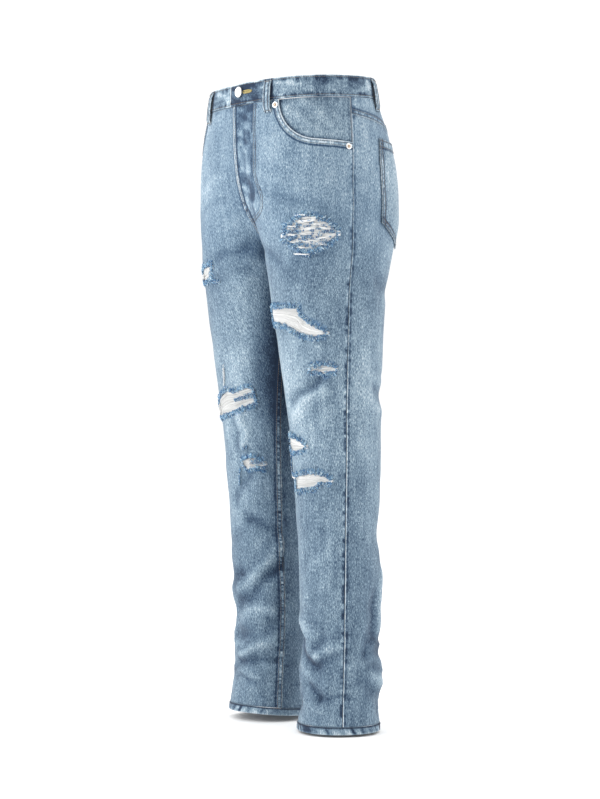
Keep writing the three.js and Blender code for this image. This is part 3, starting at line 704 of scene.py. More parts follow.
def mesh_pattern(outline, holes, step, seams, fine):
    """Meshes a flat pattern: its outline, its holes, and an even fill, finer near its detail."""
    outline = np.asarray(outline)
    low, high = outline.min(0), outline.max(0)
    closed_holes = [closed(hole) for hole in holes]

    def room(points):
        gap = np.full(len(points), 99.0)
        for seam in seams:
            gap = np.minimum(gap, clearance(points, seam.line, seam.band + 6) - seam.band)
        for hole in closed_holes:
            gap = np.minimum(gap, clearance(points, hole, 15) - 9)
        return gap

    detailed = seams or holes
    coarse_fill = staggered(low, high, step)
    fill = coarse_fill[room(coarse_fill) > 5.5] if detailed else coarse_fill
    spacing = np.full(len(fill), step)
    if detailed:
        fine_fill = staggered(low, high, fine)
        fine_fill = fine_fill[room(fine_fill) < 4.5]
        fill = np.concatenate([fill, fine_fill])
        spacing = np.concatenate([spacing, np.full(len(fine_fill), fine)])
    keep = inside(fill[:, 0], fill[:, 1], outline)
    keep &= clearance(fill, closed(outline), 4) > spacing * 0.45
    for hole, closed_hole in zip(holes, closed_holes):
        keep &= ~inside(fill[:, 0], fill[:, 1], hole)
        keep &= clearance(fill, closed_hole, 4) > spacing * 0.45
    fill = fill[keep]
    edges = []
    start = 0
    for loop in (outline, *holes):
        count = len(loop)
        edges += [(start + i, start + (i + 1) % count) for i in range(count)]
        start += count
    points = np.concatenate([outline, *holes, fill])
    result = delaunay_2d_cdt([Vector(p) for p in points.tolist()], edges, [], 0, 1e-5, False)
    flat = np.array([(v.x, v.y) for v in result[0]])
    triangles = np.array([f for f in result[2] if len(f) == 3])
    middle = flat[triangles].mean(1)
    keep = inside(middle[:, 0], middle[:, 1], outline)
    for hole in holes:
        keep &= ~inside(middle[:, 0], middle[:, 1], hole)
    triangles = triangles[keep]
    used = np.unique(triangles)
    renumber = np.full(len(flat), -1)
    renumber[used] = np.arange(len(used))
    flat, triangles = flat[used], renumber[triangles]
    a, b, c = (flat[triangles[:, k]] for k in range(3))
    turn = (b[:, 0] - a[:, 0]) * (c[:, 1] - a[:, 1]) - (b[:, 1] - a[:, 1]) * (c[:, 0] - a[:, 0])
    triangles[turn < 0] = triangles[turn < 0][:, ::-1]
    return flat[:, 0], flat[:, 1], triangles.tolist()


def strands(name, paths, radius, shades, material, sides, taper):
    """Many thin tubes as one mesh. paths is a list of (points, 3) arrays of equal length,
    shades one grey or one colour a tube, and taper how much the ends are thinned."""
    paths = np.asarray(paths, float)
    count, length, _ = paths.shape
    ahead = np.gradient(paths, axis=1)
    ahead /= np.linalg.norm(ahead, axis=2, keepdims=True) + 1e-9
    up = np.zeros_like(ahead)
    up[..., 2] = 1
    steep = np.abs(ahead[..., 2]) > 0.85
    up[steep] = (0.6, 0.8, 0)
    one = np.cross(ahead, up)
    one /= np.linalg.norm(one, axis=2, keepdims=True) + 1e-9
    two = np.cross(ahead, one)
    radius = np.broadcast_to(np.asarray(radius, float), (count,))
    along = np.linspace(-1, 1, length)
    width = radius[:, None] * (1 - taper * along[None, :] ** 4)
    turns = np.arange(sides) * 2 * math.pi / sides
    rings = [paths + width[..., None] * (math.cos(t) * one + math.sin(t) * two) for t in turns]
    points = np.stack(rings, 2).reshape(-1, 3)
    base = np.arange(count)[:, None, None] * length * sides
    i = np.arange(length - 1)[None, :, None] * sides
    j = np.arange(sides)[None, None, :]
    k = (j + 1) % sides
    quads = np.stack([base + i + j, base + i + k, base + i + sides + k, base + i + sides + j], -1)
    faces = [tuple(q) for q in quads.reshape(-1, 4).tolist()]
    starts = (np.arange(count) * length * sides)[:, None]
    first = starts + np.arange(sides)[None, ::-1]
    last = starts + (length - 1) * sides + np.arange(sides)[None, :]
    faces += [tuple(f) for f in first.tolist()] + [tuple(f) for f in last.tolist()]
    shades = np.asarray(shades, float)
    if shades.ndim == 1:
        shades = np.repeat(shades[:, None], 3, 1)
    wear_and_shading = np.repeat(shades, length * sides, axis=0)
    make_object(name, points, faces, [material], wear_and_shading=wear_and_shading)


# ------------------------------------------------------------------ seams

# Stitches: length, thread radius, spread of shades, and where a stitch's five points lie.
STITCH = 3.0
THREAD = 0.36
THREAD_SHADES = (0.8, 1.15)
STITCH_SHARES = np.array([0.14, 0.32, 0.5, 0.68, 0.86])


class Seam:
    """A sewn edge or row on a panel. A band beside its line stands lift proud of the cloth.
    pucker and pitch give its dimples' depth and spacing, rows the stitches' distances from the
    line. edge, outside, groove, shine and bleach give the strength of each kind of marking: pale
    rubbed edges with a painted shadow just beyond a raised band, dark blotches beyond the band,
    painted shade in the seam's ditch, a light line on its ridge with a darker one beside it, and
    fading all over the band."""

    def __init__(self, line, band=10.0, lift=0.8, pucker=0.6, pitch=9.0, rows=(), edge=0.5,
                 outside=0.3, seed=1.0, groove=0.0, shine=0.0, bleach=0.0):
        self.line = even_steps(line, 6.0)
        self.band, self.lift, self.pucker, self.pitch = band, lift, pucker, pitch
        self.rows, self.edge, self.outside = rows, edge, outside
        self.seed, self.groove, self.shine, self.bleach = seed, groove, shine, bleach


def seam_effects(w, z, seams):
    """Lift, and light and dark, that the seams give each place of a panel: fading and darker cloth,
    with painted shade in the dips, in the ditch and just beyond raised edges.
    """
    lift = np.zeros(w.shape)
    light = np.zeros(w.shape)
    dark = np.zeros(w.shape)
    for seam in seams:
        near = within(w, z, seam.line, 30)
        if not near.any():
            continue
        along, away = along_and_away(w[near], z[near], seam.line)
        band = seam.band
        on_band = 1 - smoothstep(band - 1.0, band + 1.4, away)
        wave = 0.7 * noise(along / seam.pitch + seam.seed * 17, seam.seed * 5.3)
        wave = wave + 0.3 * noise(along / (0.45 * seam.pitch), away / 4 + seam.seed)
        dimple = smoothstep(0.45, 0.72, wave)
        crest = smoothstep(0.5, 0.25, wave)
        in_band = bell(away - band * 0.5, band * 0.36)
        beyond = noise(along / (seam.pitch * 1.2) + seam.seed * 31, seam.seed * 2.1)
        blot = smoothstep(0.5, 0.85, beyond) * bell(away - band - 3.0, 3.0)
        lift[near] += seam.lift * on_band - 0.75 * seam.pucker * dimple * in_band
        lift[near] -= 0.5 * seam.outside * blot + seam.groove * bell(away, 1.3)
        # Dimples and blotches beside the seam are darker: partly cloth that kept its blue, partly painted
        # shade in their dips.
        dark[near] += 0.95 * seam.pucker * dimple * in_band + seam.outside * blot
        # Painted shadow just beyond the edge of a raised band.
        dark[near] += 0.9 * seam.edge * bell(away - band - 1.2, 1.3) * (seam.lift > 0.3)
        light[near] += 0.45 * seam.edge * bell(away, 1.5) + 0.4 * seam.pucker * crest * in_band
        light[near] += 0.3 * seam.edge * bell(away - band + 0.8, 1.2)
        # Painted shade in the seam's ditch.
        dark[near] += 1.5 * seam.groove * bell(away, 1.3)
        light[near] += seam.bleach * on_band * mix(0.55, 1.0, noise(along / 13, seam.seed))
        bright = seam.shine * mix(0.4, 1.0, smoothstep(-420, -640, z[near]))
        light[near] += bright * bell(away, 0.8)
        dark[near] += 0.5 * seam.shine * bell(away - 3.0, 1.3)
        for row in seam.rows:
            lift[near] -= 0.4 * bell(away - abs(row), 1.2)
            dark[near] += (0.85 + 0.6 * seam.bleach) * bell(away - abs(row), 1.15) * (0.6 + 0.6 * crest)
    return lift, light, dark


def plain_seam(line, seed, outside=0.45):
    """A seam that shows only as the puckers beside it."""
    return Seam(line, band=0.5, lift=0.0, pucker=0.0, outside=outside, pitch=7, edge=0.0, seed=seed)


def seat_seam(line, seed):
    return Seam(line, band=9, lift=0.8, pucker=0.6, pitch=5, rows=(-1.8, -7.8), edge=0.8,
                outside=0.3, seed=seed)


def sew(name, half, seams, lift_at, base):
    """Every row of stitches of some seams, as one mesh of short raised threads."""
    shares = np.array([0.14, 0.36, 0.64, 0.86])
    rise = np.array([-0.21, 0.588, 0.588, -0.21]) * THREAD + 0.1
    paths, shades = [], []
    for seam in seams:
        for row in seam.rows:
            dots = even_steps(shifted(even_steps(seam.line, 2.0), row), STITCH)
            a, b = dots[:-1], dots[1:]
            w = mix(a[:, :1], b[:, :1], shares[None, :])
            z = mix(a[:, 1:], b[:, 1:], shares[None, :])
            lift = lift_at(w.ravel(), z.ravel()).reshape(w.shape)
            paths.append(surface(half, w, z, base + lift + rise[None, :]))
            shades.append(rng.uniform(*THREAD_SHADES, len(a)))
    strands(name, np.concatenate(paths), THREAD, np.concatenate(shades), topstitch, 4, 0.35)


# ------------------------------------------------------------------ fading, and painted highlight and shade, away from seams

def ellipse(w, z, at, size, tilt=0.0):
    dw, dz = w - at[0], z - at[1]
    c, s = math.cos(tilt), math.sin(tilt)
    return np.exp(-((c * dw + s * dz) / size[0]) ** 2 - ((c * dz - s * dw) / size[1]) ** 2)


WIDEST_SHADED_FOLD = 23            # creases wider than this get no painted highlight or shade


def wash_and_shading(half, w, z):
    """Light and dark over the whole garment: faded areas, whiskers, a lighter band about the knees and
    some darker patches; darker inner legs, partly unfaded and partly painted shade between the legs;
    painted highlight on fold ridges, painted shade in their troughs and beside them.
    """
    side = side_run(z)
    crease = -0.66 * side
    edge = -0.86 * side
    thigh = bell(w - crease, 50) * smoothstep(-250, -330, z) * smoothstep(-640, -470, z)
    hip = smoothstep(-240, -120, z) * smoothstep(-0.9 * side, -0.6 * side, w)
    front = bell(w - edge, 40) * smoothstep(-60, -140, z) * smoothstep(-980, -900, z)
    shin = bell(w - crease, 45) * smoothstep(-430, -560, z) * smoothstep(-960, -800, z)
    seat = ellipse(w, z, (135, -185), (80, 95))
    calf = bell(w - 105, 50) * smoothstep(-330, -420, z) * smoothstep(-900, -700, z)
    light = 0.20 * hip + 0.16 * thigh + 0.10 * front + 0.06 * shin + 0.24 * seat + 0.12 * calf
    # Inner legs darker: partly cloth that kept its blue, partly painted shade between the legs, deepest on
    # the right leg, further from the camera.
    inner = smoothstep(75, 0, side + w) + smoothstep(75, 0, whole_run(z) - side - w)
    deepest = 1.1 if half > 0 else 1.35
    dark = inner * smoothstep(-200, -270, z) * mix(0.22, deepest, smoothstep(-640, -400, z))
    dark = dark + 0.12 * bell(w + 45, 42) * smoothstep(-130, -220, z) * smoothstep(-420, -320, z)
    dark = dark + 0.12 * bell(w + 100, 60) * bell(z + 285, 45)
    whisker = noise((z + 0.42 * w) / 13 + (3 if half > 0 else 11), w / 90)
    reach = bell(w - crease, 90) * bell(z + 195, 60)
    light = light + 0.14 * reach * smoothstep(0.55, 0.9, whisker)
    dark = dark + 0.14 * reach * smoothstep(0.45, 0.1, whisker)
    light = light + 0.18 * bell(z + 500, 90) * smoothstep(-side, -0.3 * side, w)
    dark = dark + 0.06 * smoothstep(-540, -620, z) * smoothstep(-960, -860, z)
    # Painted highlight along fold ridges; painted shade in their troughs and just beside the ridges.
    bent_w, bent_z = wander(w, z)
    for owner, start, end, rise, width in FOLDS + CREASES:
        if owner != half or width > WIDEST_SHADED_FOLD:
            continue
        _, away = along_and_away(bent_w, bent_z, [start, end])
        strength = min(abs(rise) / 4, 1)
        fold_shading = strength * bell(away, width * 0.8)
        if rise > 0:
            light = light + 0.34 * fold_shading
            dark = dark + 0.22 * strength * bell(away - width * 1.5, width * 0.8)
        else:
            dark = dark + 0.50 * fold_shading
    return light, dark


# ------------------------------------------------------------------ rips: outlines and fray

def rip_edge(stations, v, w):
    """Height of the line a share v of the way from a rip's upper edge to its lower."""
    s = np.asarray(stations, float)
    upper, lower = np.interp(w, s[:, 0], s[:, 1]), np.interp(w, s[:, 0], s[:, 2])
    return mix(upper, lower, v)


def rip_outline(stations, seed):
    """A rip's torn outline, with small nicks."""
    s = np.asarray(stations, float)
    step = 1.6
    count = round((s[-1, 0] - s[0, 0]) / step)
    w = np.linspace(s[0, 0], s[-1, 0], count + 1)
    jag = lambda k: 2.4 * (noise(w / 2.3 + seed * 7, k) - 0.5) + 3.0 * (noise(w / 8 + seed, k + 3) - 0.5)
    upper = pairs(w, rip_edge(s, 0, w) + jag(seed + 1.5))
    lower = pairs(w, rip_edge(s, 1, w) + jag(seed + 8.5))
    gap = upper[:, 1] - lower[:, 1]
    tight = gap < 1.5
    upper[tight, 1] += 0.8
    lower[tight, 1] -= 0.8
    ends = np.linspace(0, 1, 4)[1:-1, None]
    right = upper[-1] + (lower[-1] - upper[-1]) * ends
    left = lower[0] + (upper[0] - lower[0]) * ends
    return np.vstack([upper, right, lower[::-1], left])


HOLES = {name: rip_outline(stations, k * 1.7) for k, (name, (_, stations)) in enumerate(RIPS.items())}


def hip_blue(z):
    """The hips keep a little more of their blue than the legs."""
    return 0.11 * smoothstep(-330, -200, z)


def rip_wear(half, w, z):
    """Round the rips: the cloth bluer, rough and lifted near each torn edge."""
    blue = np.zeros(w.shape)
    light = np.zeros(w.shape)
    lift = np.zeros(w.shape)
    for name, (owner, stations) in RIPS.items():
        if owner != half:
            continue
        hole = HOLES[name]
        near = within(w, z, hole, 18)
        if not near.any():
            continue
        along, away = along_and_away(w[near], z[near], closed(hole))
        rough = noise(along / 2.2, away / 2.0)
        above = window(w[near], stations[0][0] - 2, stations[-1][0] + 2)
        band = (1 - smoothstep(5.0, 10.0, away + 5 * (noise(along / 7, 4.4) - 0.5))) * above
        blue[near] = np.maximum(blue[near], band * (0.25 + 0.6 * rough))
        light[near] += 0.5 * bell(away, 1.2) + 0.5 * band * smoothstep(0.6, 0.9, rough)
        lift[near] += 0.6 * band * rough + 0.6 * bell(away, 2.5)
    return lift, light, blue


# ------------------------------------------------------------------ panels' outlines

EDGE_STEP = 3.2             # between the points of a leg's outline
SMALL_STEP = 3.0            # between those of smaller pieces and the pocket mouth
YOKE_END = -88.0            # about where the yoke meets the centre back


def pocket_mouth(w):
    w = np.asarray(w, float)
    share = np.clip((MOUTH_CORNER - w) / (MOUTH_CORNER - MOUTH_START), 0, 1)
    curved = WAIST_SEAM - (WAIST_SEAM - MOUTH_CORNER_Z) * np.sqrt(1 - share ** 2)
    level = mix(MOUTH_CORNER_Z, MOUTH_SIDE_Z, (w - MOUTH_CORNER) / -MOUTH_CORNER)
    return np.where(w >= MOUTH_CORNER, level, np.where(w <= MOUTH_START, WAIST_SEAM, curved))


def fly_lap(z):
    return FLY_LAP * smoothstep(FLY_END, FLY_END + 60, z)


def fly_lift(from_centre, z):
    flat = 1 - smoothstep(3, 14, from_centre)
    return FLY_LIFT * flat * smoothstep(FLY_END - 25, FLY_END - 5, z)


def inner_edge(half, z):
    """w of a front panel's inner edge: the fly, the crotch seam, then the inseam."""
    lap = fly_lap(z) if half > 0 else np.zeros_like(z)
    return -side_run(z) + np.where(lap > 0.05, -lap, SEAM)


def back_edge(z):
    """w of a back panel's or yoke's inner edge: the centre back, then the inseam."""
    return whole_run(z) - side_run(z) - SEAM


def edge_heights(top, bottom):
    """Heights to follow an inner edge by, close together at the crotch."""
    above, below = CROTCH + 14, CROTCH - 14
    return np.concatenate([np.arange(top, above, -EDGE_STEP), np.arange(above, below, -0.7),
                           np.arange(below, bottom, -EDGE_STEP), [bottom]])


def yoke_seam(w):
    return YOKE_AT_SIDE + YOKE_SLOPE * np.asarray(w, float)


def loop_of(*lines):
    """Joins lines end to end into one closed outline, dropping repeated corners."""
    points = np.vstack(lines)
    gap = np.hypot(*(points - np.roll(points, 1, 0)).T)
    return points[gap > 0.02]


def front_lines(half):
    top, bottom = WAIST_SEAM - SEAM, HEM_TOP + SEAM
    z = edge_heights(top, bottom)
    inner = pairs(inner_edge(half, z), z)
    turn = np.linspace(math.pi / 2, 0, 20)[1:]
    curve_w = MOUTH_CORNER - (MOUTH_CORNER - MOUTH_START) * np.sin(turn)
    mouth_w = np.concatenate([curve_w, np.linspace(MOUTH_CORNER, -SEAM, 20)[1:]])
    mouth = pairs(mouth_w, pocket_mouth(mouth_w) - SEAM)
    mouth = np.vstack([[(MOUTH_START, top)], mouth])
    waist = even_steps([inner[0], (MOUTH_START, top)], EDGE_STEP)
    side = even_steps([(-SEAM, MOUTH_SIDE_Z - SEAM), (-SEAM, bottom)], EDGE_STEP)
    hem = even_steps([(-SEAM, bottom), inner[-1]], EDGE_STEP)
    return {"waist": waist, "mouth": even_steps(mouth, SMALL_STEP), "side": side, "hem": hem,
            "inner": inner}


def back_lines():
    bottom = HEM_TOP + SEAM
    top_w = np.linspace(SEAM, back_edge(YOKE_END), 70)
    z_end = float(yoke_seam(top_w[-1])) - SEAM
    z = edge_heights(z_end, bottom)
    inner = pairs(back_edge(z), z)
    yoke_line = pairs(top_w, yoke_seam(top_w) - SEAM)
    yoke_line[-1] = inner[0]
    side = even_steps([(SEAM, YOKE_AT_SIDE - SEAM), (SEAM, bottom)], EDGE_STEP)
    hem = even_steps([(SEAM, bottom), inner[-1]], EDGE_STEP)
    return {"yoke": yoke_line, "side": side, "hem": hem, "inner": inner}


# ------------------------------------------------------------------ the panels


def add_sheet(node):
    """Hides the CAD solid that a cloth piece stands for."""
    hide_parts(node)


def panel(node, half, pattern, seams, extra, base=0.0):
    """A sewn panel: its cloth and stitches; the CAD solid it stands for is hidden. extra gives, for each
    place, the lift, light, dark and blue that come on top of the seams and the garment's fading and painted
    shade."""
    def lift_at(w, z):
        return seam_effects(w, z, seams)[0] + extra(w, z)[0]

    def wear_and_shading_at(w, z):
        _, light, dark = seam_effects(w, z, seams)
        garment_light, garment_dark = wash_and_shading(half, w, z)
        _, more_light, more_dark, blue = extra(w, z)
        return np.stack([light + garment_light + more_light, dark + garment_dark + more_dark, blue], 1)

    obj = cloth_wall(node, half, pattern, lift_at, wear_and_shading_at, base)
    add_sheet(node)
    if any(seam.rows for seam in seams):
        sew(f"stitches_{node}", half, seams, lift_at, base)
    return obj


def part_of(line, low, high):
    """The stretch of a line between two heights."""
    keep = (line[:, 1] >= low) & (line[:, 1] <= high)
    return line[keep]


def j_line():
    """The fly's curved row of stitches, by distance from the centre front."""
    from_centre = [(50, -18), (50, -70), (50, -120), (52, -140), (58, -155), (66, -170), (68, -184),
                   (62, -193), (46, -199), (24, -201), (6, -200)]
    return np.array([(c - float(side_run(z)), z) for c, z in from_centre])


def placket(w, z):
    """The buttoned fly between its edge and its stitches: hard creases, with painted shade in their
    troughs and painted highlight on their ridges, and dark blotches.
    """
    c = w + side_run(z)
    reach = window(c, 8, 48) * smoothstep(-200, -180, z)
    slant = z + 0.5 * c
    upright = noise(c / 8 + 3, z / 30)
    blotch = noise(c / 13.0 + 5, z / 17.0 + 40)
    pull = noise(c / 26 + 2, slant / 8 + 9)
    lift = reach * (1.3 * (upright - 0.5) + 1.6 * (pull - 0.5))
    # Dark blotches, and painted shade where the creases sink; the light below is painted highlight where
    # they rise.
    dark = reach * (0.6 * smoothstep(0.5, 0.8, blotch) + 0.3 * smoothstep(0.45, 0.15, upright))
    dark = dark + reach * 0.4 * smoothstep(0.42, 0.12, pull)
    dark = dark + reach * 0.5 * window(c, 30, 49) * smoothstep(0.35, 0.65, noise(c / 9, z / 12 + 3))
    light = reach * (0.3 * smoothstep(0.55, 0.85, upright) + 0.4 * smoothstep(0.58, 0.85, pull))
    return lift, light, dark


def front_panel(half, side_name):
    lines = front_lines(half)
    outline = loop_of(lines["waist"], lines["mouth"][1:], lines["side"][1:], lines["hem"][1:],
                      lines["inner"][::-1][1:-1])
    holes = [HOLES[name] for name, (owner, _) in RIPS.items() if owner == half]
    inseam = part_of(lines["inner"], HEM_TOP, CROTCH - 6)
    crotch = part_of(lines["inner"], CROTCH + 8, FLY_END + 8)
    seams = [
        Seam(lines["mouth"], band=9, lift=1.2, pucker=0.6, pitch=2.6, rows=(-2.4, -7.6), edge=1.8,
             outside=0.1, seed=1.1, bleach=0.75),
        Seam(lines["side"], band=6.0, lift=0.25, pucker=0.95, pitch=6.0, edge=0.0, outside=0.12,
             seed=2.3, groove=0.7),
        Seam(inseam[::-1], band=9.5, lift=1.0, pucker=0.9, pitch=2.4, rows=(-1.8, -8.0), edge=1.1,
             outside=0.35, seed=3.7, bleach=0.45),
        plain_seam(lines["waist"], 4.1),
    ]
    if half > 0:
        fly = part_of(lines["inner"], FLY_END + 10, WAIST_SEAM)
        seams.append(Seam(fly, band=6.5, lift=0.8, pucker=0.5, pitch=5, rows=(1.6, 5.6), edge=1.8,
                          outside=0.6, seed=5.3, bleach=0.8))
        seams.append(Seam(j_line(), band=2.0, lift=0.3, pucker=0.45, pitch=6, rows=(0.0, 4.0),
                          edge=0.6, outside=0.3, seed=6.1))
        seams.append(Seam(crotch, band=8, lift=0.9, pucker=0.6, pitch=5, rows=(1.6, 6.8), edge=1.3,
                          outside=0.4, seed=7.7, bleach=0.3))

    def extra(w, z):
        lift, light, blue = rip_wear(half, w, z)
        blue = np.maximum(blue, hip_blue(z))
        dark = np.zeros(w.shape)
        if half > 0:
            more = placket(w, z)
            lift = lift + more[0] + fly_lift(w + side_run(z), z)
            light, dark = light + more[1], dark + more[2]
        else:
            from_centre = w + side_run(z)
            # Painted shadow on the right front along the centre, where the fly's lap lies over it.
            dark = dark + 0.7 * bell(from_centre - 4, 3) * smoothstep(FLY_END - 10, FLY_END, z)
        return lift, light, dark, blue

    panel(f"front_{side_name}", half, Pattern(outline, seams, holes), seams, extra)


def back_panel(half, side_name):
    lines = back_lines()
    outline = loop_of(lines["yoke"], lines["inner"][1:], lines["hem"][::-1][1:],
                      lines["side"][::-1][1:-1])
    inseam = part_of(lines["inner"], HEM_TOP, CROTCH - 6)
    seat = part_of(lines["inner"], CROTCH + 8, 0)
    seams = [
        Seam(lines["side"], band=6.0, lift=0.35, pucker=0.5, pitch=6.0, edge=0.0, outside=0.12,
             seed=8.3, shine=1.3),
        Seam(inseam, band=1.5, lift=0.0, pucker=0.3, pitch=6, edge=0.1, outside=0.4, seed=9.7),
        Seam(lines["yoke"], band=0.6, lift=0.0, pucker=0.2, pitch=6, edge=0.0, outside=0.35,
             seed=10.1),
    ]
    if half > 0:
        seams.append(seat_seam(seat, 11.9))
    edge = closed(pocket_outline())

    def extra(w, z):
        away = clearance(pairs(w, z), edge, 14)
        none = np.zeros(w.shape)
        # Painted shade round the pocket's edge, where the pocket stands over the panel.
        return none, none, 0.45 * bell(away, 3.0), hip_blue(z)

    panel(f"back_{side_name}", half, Pattern(outline, seams), seams, extra)


def yoke(half, side_name):
    top = WAIST_SEAM - SEAM
    end_z = float(yoke_seam(back_edge(YOKE_END))) + SEAM
    z_in = np.append(np.arange(top, end_z, -EDGE_STEP), end_z)
    inner = pairs(back_edge(z_in), z_in)
    low_w = np.linspace(inner[-1, 0], SEAM, 70)
    lower = pairs(low_w, yoke_seam(low_w) + SEAM)
    side = even_steps([lower[-1], (SEAM, top)], SMALL_STEP)
    waist = even_steps([(SEAM, top), inner[0]], EDGE_STEP)
    outline = loop_of(waist, inner[1:], lower[1:], side[1:-1])
    seams = [
        Seam(lower[::-1], band=9, lift=0.9, pucker=0.6, pitch=3.0, rows=(2.0, 7.6), edge=1.2,
             outside=0.15, seed=12.7),
        Seam(side, band=9, lift=0.2, pucker=0.5, pitch=7, edge=0.6, outside=0.3, seed=13.1,
             groove=0.5),
        plain_seam(waist, 14.3),
    ]
    if half > 0:
        seams.append(seat_seam(inner, 15.9))
    plain = lambda w, z: (w * 0, w * 0, w * 0, hip_blue(z))
    panel(f"yoke_{side_name}", half, Pattern(outline, seams), seams, plain)


def facing(half, side_name):
    left = MOUTH_START - FACING_REACH
    top = WAIST_SEAM - SEAM
    turn = np.linspace(math.pi / 2, 0, 24)[1:]
    w_curve = MOUTH_CORNER - (MOUTH_CORNER - left) * np.sin(turn)
    drop = WAIST_SEAM - MOUTH_CORNER_Z + FACING_REACH
    z_curve = WAIST_SEAM - drop * np.cos(turn)
    lower = np.vstack([[(left, top - 20)], pairs(w_curve, np.minimum(z_curve, top - 22)),
                       [(-SEAM, MOUTH_SIDE_Z - FACING_REACH)]])
    lower = even_steps(lower, SMALL_STEP)
    waist = even_steps([(-SEAM, top), (left, top)], SMALL_STEP)
    outline = loop_of(waist, even_steps([(left, top), lower[0]], SMALL_STEP)[1:], lower[1:],
                      even_steps([lower[-1], (-SEAM, top)], SMALL_STEP)[1:-1])
    seams = [
        Seam([(-SEAM, top), (-SEAM, MOUTH_SIDE_Z)], band=3, lift=0.4, pucker=0.3, pitch=8, edge=0.6,
             outside=0.2, seed=16.3, groove=0.5),
        plain_seam(waist, 16.9, outside=0.6),
    ]
    mouth = front_lines(half)["mouth"]

    def extra(w, z):
        away = clearance(pairs(w, z), mouth, 14)
        bulge = 1.4 * ellipse(w, z, (-60, -45), (38, 24)) + 1.0 * (noise(w / 18, z / 14) - 0.5)
        light = 0.15 * ellipse(w, z, (-70, -50), (40, 22))
        # Slightly darker all over, with painted shadow on the facing just above the pocket mouth's edge.
        dark = 0.06 + 0.75 * bell(away, 3.5) * (z > pocket_mouth(w) - 1)
        return bulge, light, dark, w * 0

    panel(f"facing_{side_name}", half, Pattern(outline, seams, step=3.0), seams, extra,
          base=-FACING_DEPTH)


POCKET_PROUD = 2.0          # over the back panel
POCKET_CORNERS = [(54, -81), (60, -212), (126, -248), (192, -218), (198, -92)]


def pocket_sides():
    return list(zip(POCKET_CORNERS, POCKET_CORNERS[1:] + POCKET_CORNERS[:1]))


def pocket_outline():
    return np.vstack([even_steps(side, SMALL_STEP)[:-1] for side in pocket_sides()])


def back_pocket(half, side_name):
    seams = []
    for k, (a, b) in enumerate(pocket_sides()):
        mouth = k == len(POCKET_CORNERS) - 1
        seams.append(Seam([a, b], band=13 if mouth else 8, lift=0.6, pucker=0.45, pitch=3.2,
                          rows=(2.0, 12.0) if mouth else (1.8, 7.2), edge=1.0, outside=0.15,
                          seed=17.1 + k))
    edge = closed(pocket_outline())

    def extra(w, z):
        away = clearance(pairs(w, z), edge, 42)
        return 1.6 * smoothstep(8, 40, away), w * 0, w * 0, w * 0

    panel(f"pocket_{side_name}", half, Pattern(pocket_outline(), seams), seams, extra,
          base=POCKET_PROUD)


# ------------------------------------------------------------------ band, loops, hems

STITCH_RISE = np.array([-0.1, 0.15, 0.22, 0.15, -0.1])      # a stitch's five points, over the band


def stitch_grid(start, end, length=STITCH, shares=STITCH_SHARES):
    """Places along a straight row of stitches, five for each stitch."""
    return np.arange(start, end, length)[:, None] + length * shares[None, :]


def row_stitches(name, paths, radius=THREAD, shades=THREAD_SHADES, material=topstitch, sides=5,
                 taper=0.35):
    """Stitches from paths over the cloth, each of its own shade."""
    strands(name, paths, radius, rng.uniform(*shades, len(paths)), material, sides, taper)


def swept(node, rows, uv, wear_and_shading, kinds=None, closed_path=False):
    """A closed cloth wall over rows of points. Each row goes once round the wall's section, and
    kinds says which points of it show the cloth's back."""
    along, around = len(rows), len(rows[0])
    faces, face_kinds = [], []
    for i in range(along if closed_path else along - 1):
        j = (i + 1) % along
        for k in range(around):
            n = (k + 1) % around
            faces.append((i * around + k, j * around + k, j * around + n, i * around + n))
            face_kinds.append(kinds[k] if kinds else 0)
    if not closed_path:
        faces.append(tuple(range(around)))
        faces.append(tuple((along - 1) * around + k for k in reversed(range(around))))
        face_kinds += [0, 0]
    materials = [denim_face, denim_back] if kinds else [denim_face]
    obj = make_object(node, np.concatenate(rows), faces, materials, face_kinds,
                      np.concatenate(uv), np.concatenate(wear_and_shading))
    outward(obj)
    return obj


def outward(obj):
    """Turns a closed mesh's faces to point out."""
    work = bmesh.new()
    work.from_mesh(obj.data)
    bmesh.ops.recalc_face_normals(work, faces=work.faces)
    work.to_mesh(obj.data)
    work.free()


WAIST_HALF = float(whole_run(0.0))      # half of the waist, round the band
BAND_STEPS = 174                        # along each half of the band
BAND_STEP = 2.4
LAP_REACH = 52.0                        # how far from the centre front the lap lifts the band
BAND_LOW_ROW = 3.2                      # from the band's lower edge to its row of stitches
BAND_TOP_ROW = 3.0                      # the same from its top
END_ROW = -BAND_LAP + 2.5               # the row of stitches across the lapped end


def rounded_section(top, bottom, outer, inner, steps):
    """A flat band's section, going down its outside and up its inside: heights, distances out,
    which points face out, and the kind of cloth between each point and the next."""
    middle, deep = (outer + inner) / 2, (outer - inner) / 2
    turn = np.linspace(0, math.pi, 7)[1:-1]
    down = np.linspace(top - deep, bottom + deep, steps)
    heights = [down, bottom + deep * (1 - np.sin(turn)), down[::-1], top - deep * (1 - np.sin(turn))]
    outs = [np.full(steps, outer), middle + deep * np.cos(turn), np.full(steps, inner),
            middle - deep * np.cos(turn)]
    heights, outs = np.concatenate(heights), np.concatenate(outs)
    facing_out = outs > outer - deep
    kinds = [0 if here or after else 1 for here, after in zip(facing_out, np.roll(facing_out, -1))]
    return heights, outs, facing_out, kinds


def lap_lift(from_centre):
    """How far the waistband's lapped end stands over the end beneath it."""
    return BAND_LIFT * (1 - smoothstep(BAND_UNDERLAP + 4, LAP_REACH, from_centre))


def band_places():
    """Stations along the waistband: (half, distance from the centre front, lift)."""
    left = np.linspace(-BAND_LAP, WAIST_HALF, BAND_STEPS + 1)
    right = np.linspace(WAIST_HALF, -BAND_UNDERLAP, BAND_STEPS + 4)[1:]
    return [(1, c, x) for c, x in zip(left, lap_lift(left))] + [(-1, c, 0.0) for c in right]


def band_w(from_centre, z):
    """w on the band: away from the fly it keeps its share of the way round at every height."""
    stretch = np.where(from_centre > 60, whole_run(z) / WAIST_HALF, 1.0)
    return from_centre * stretch - side_run(z)


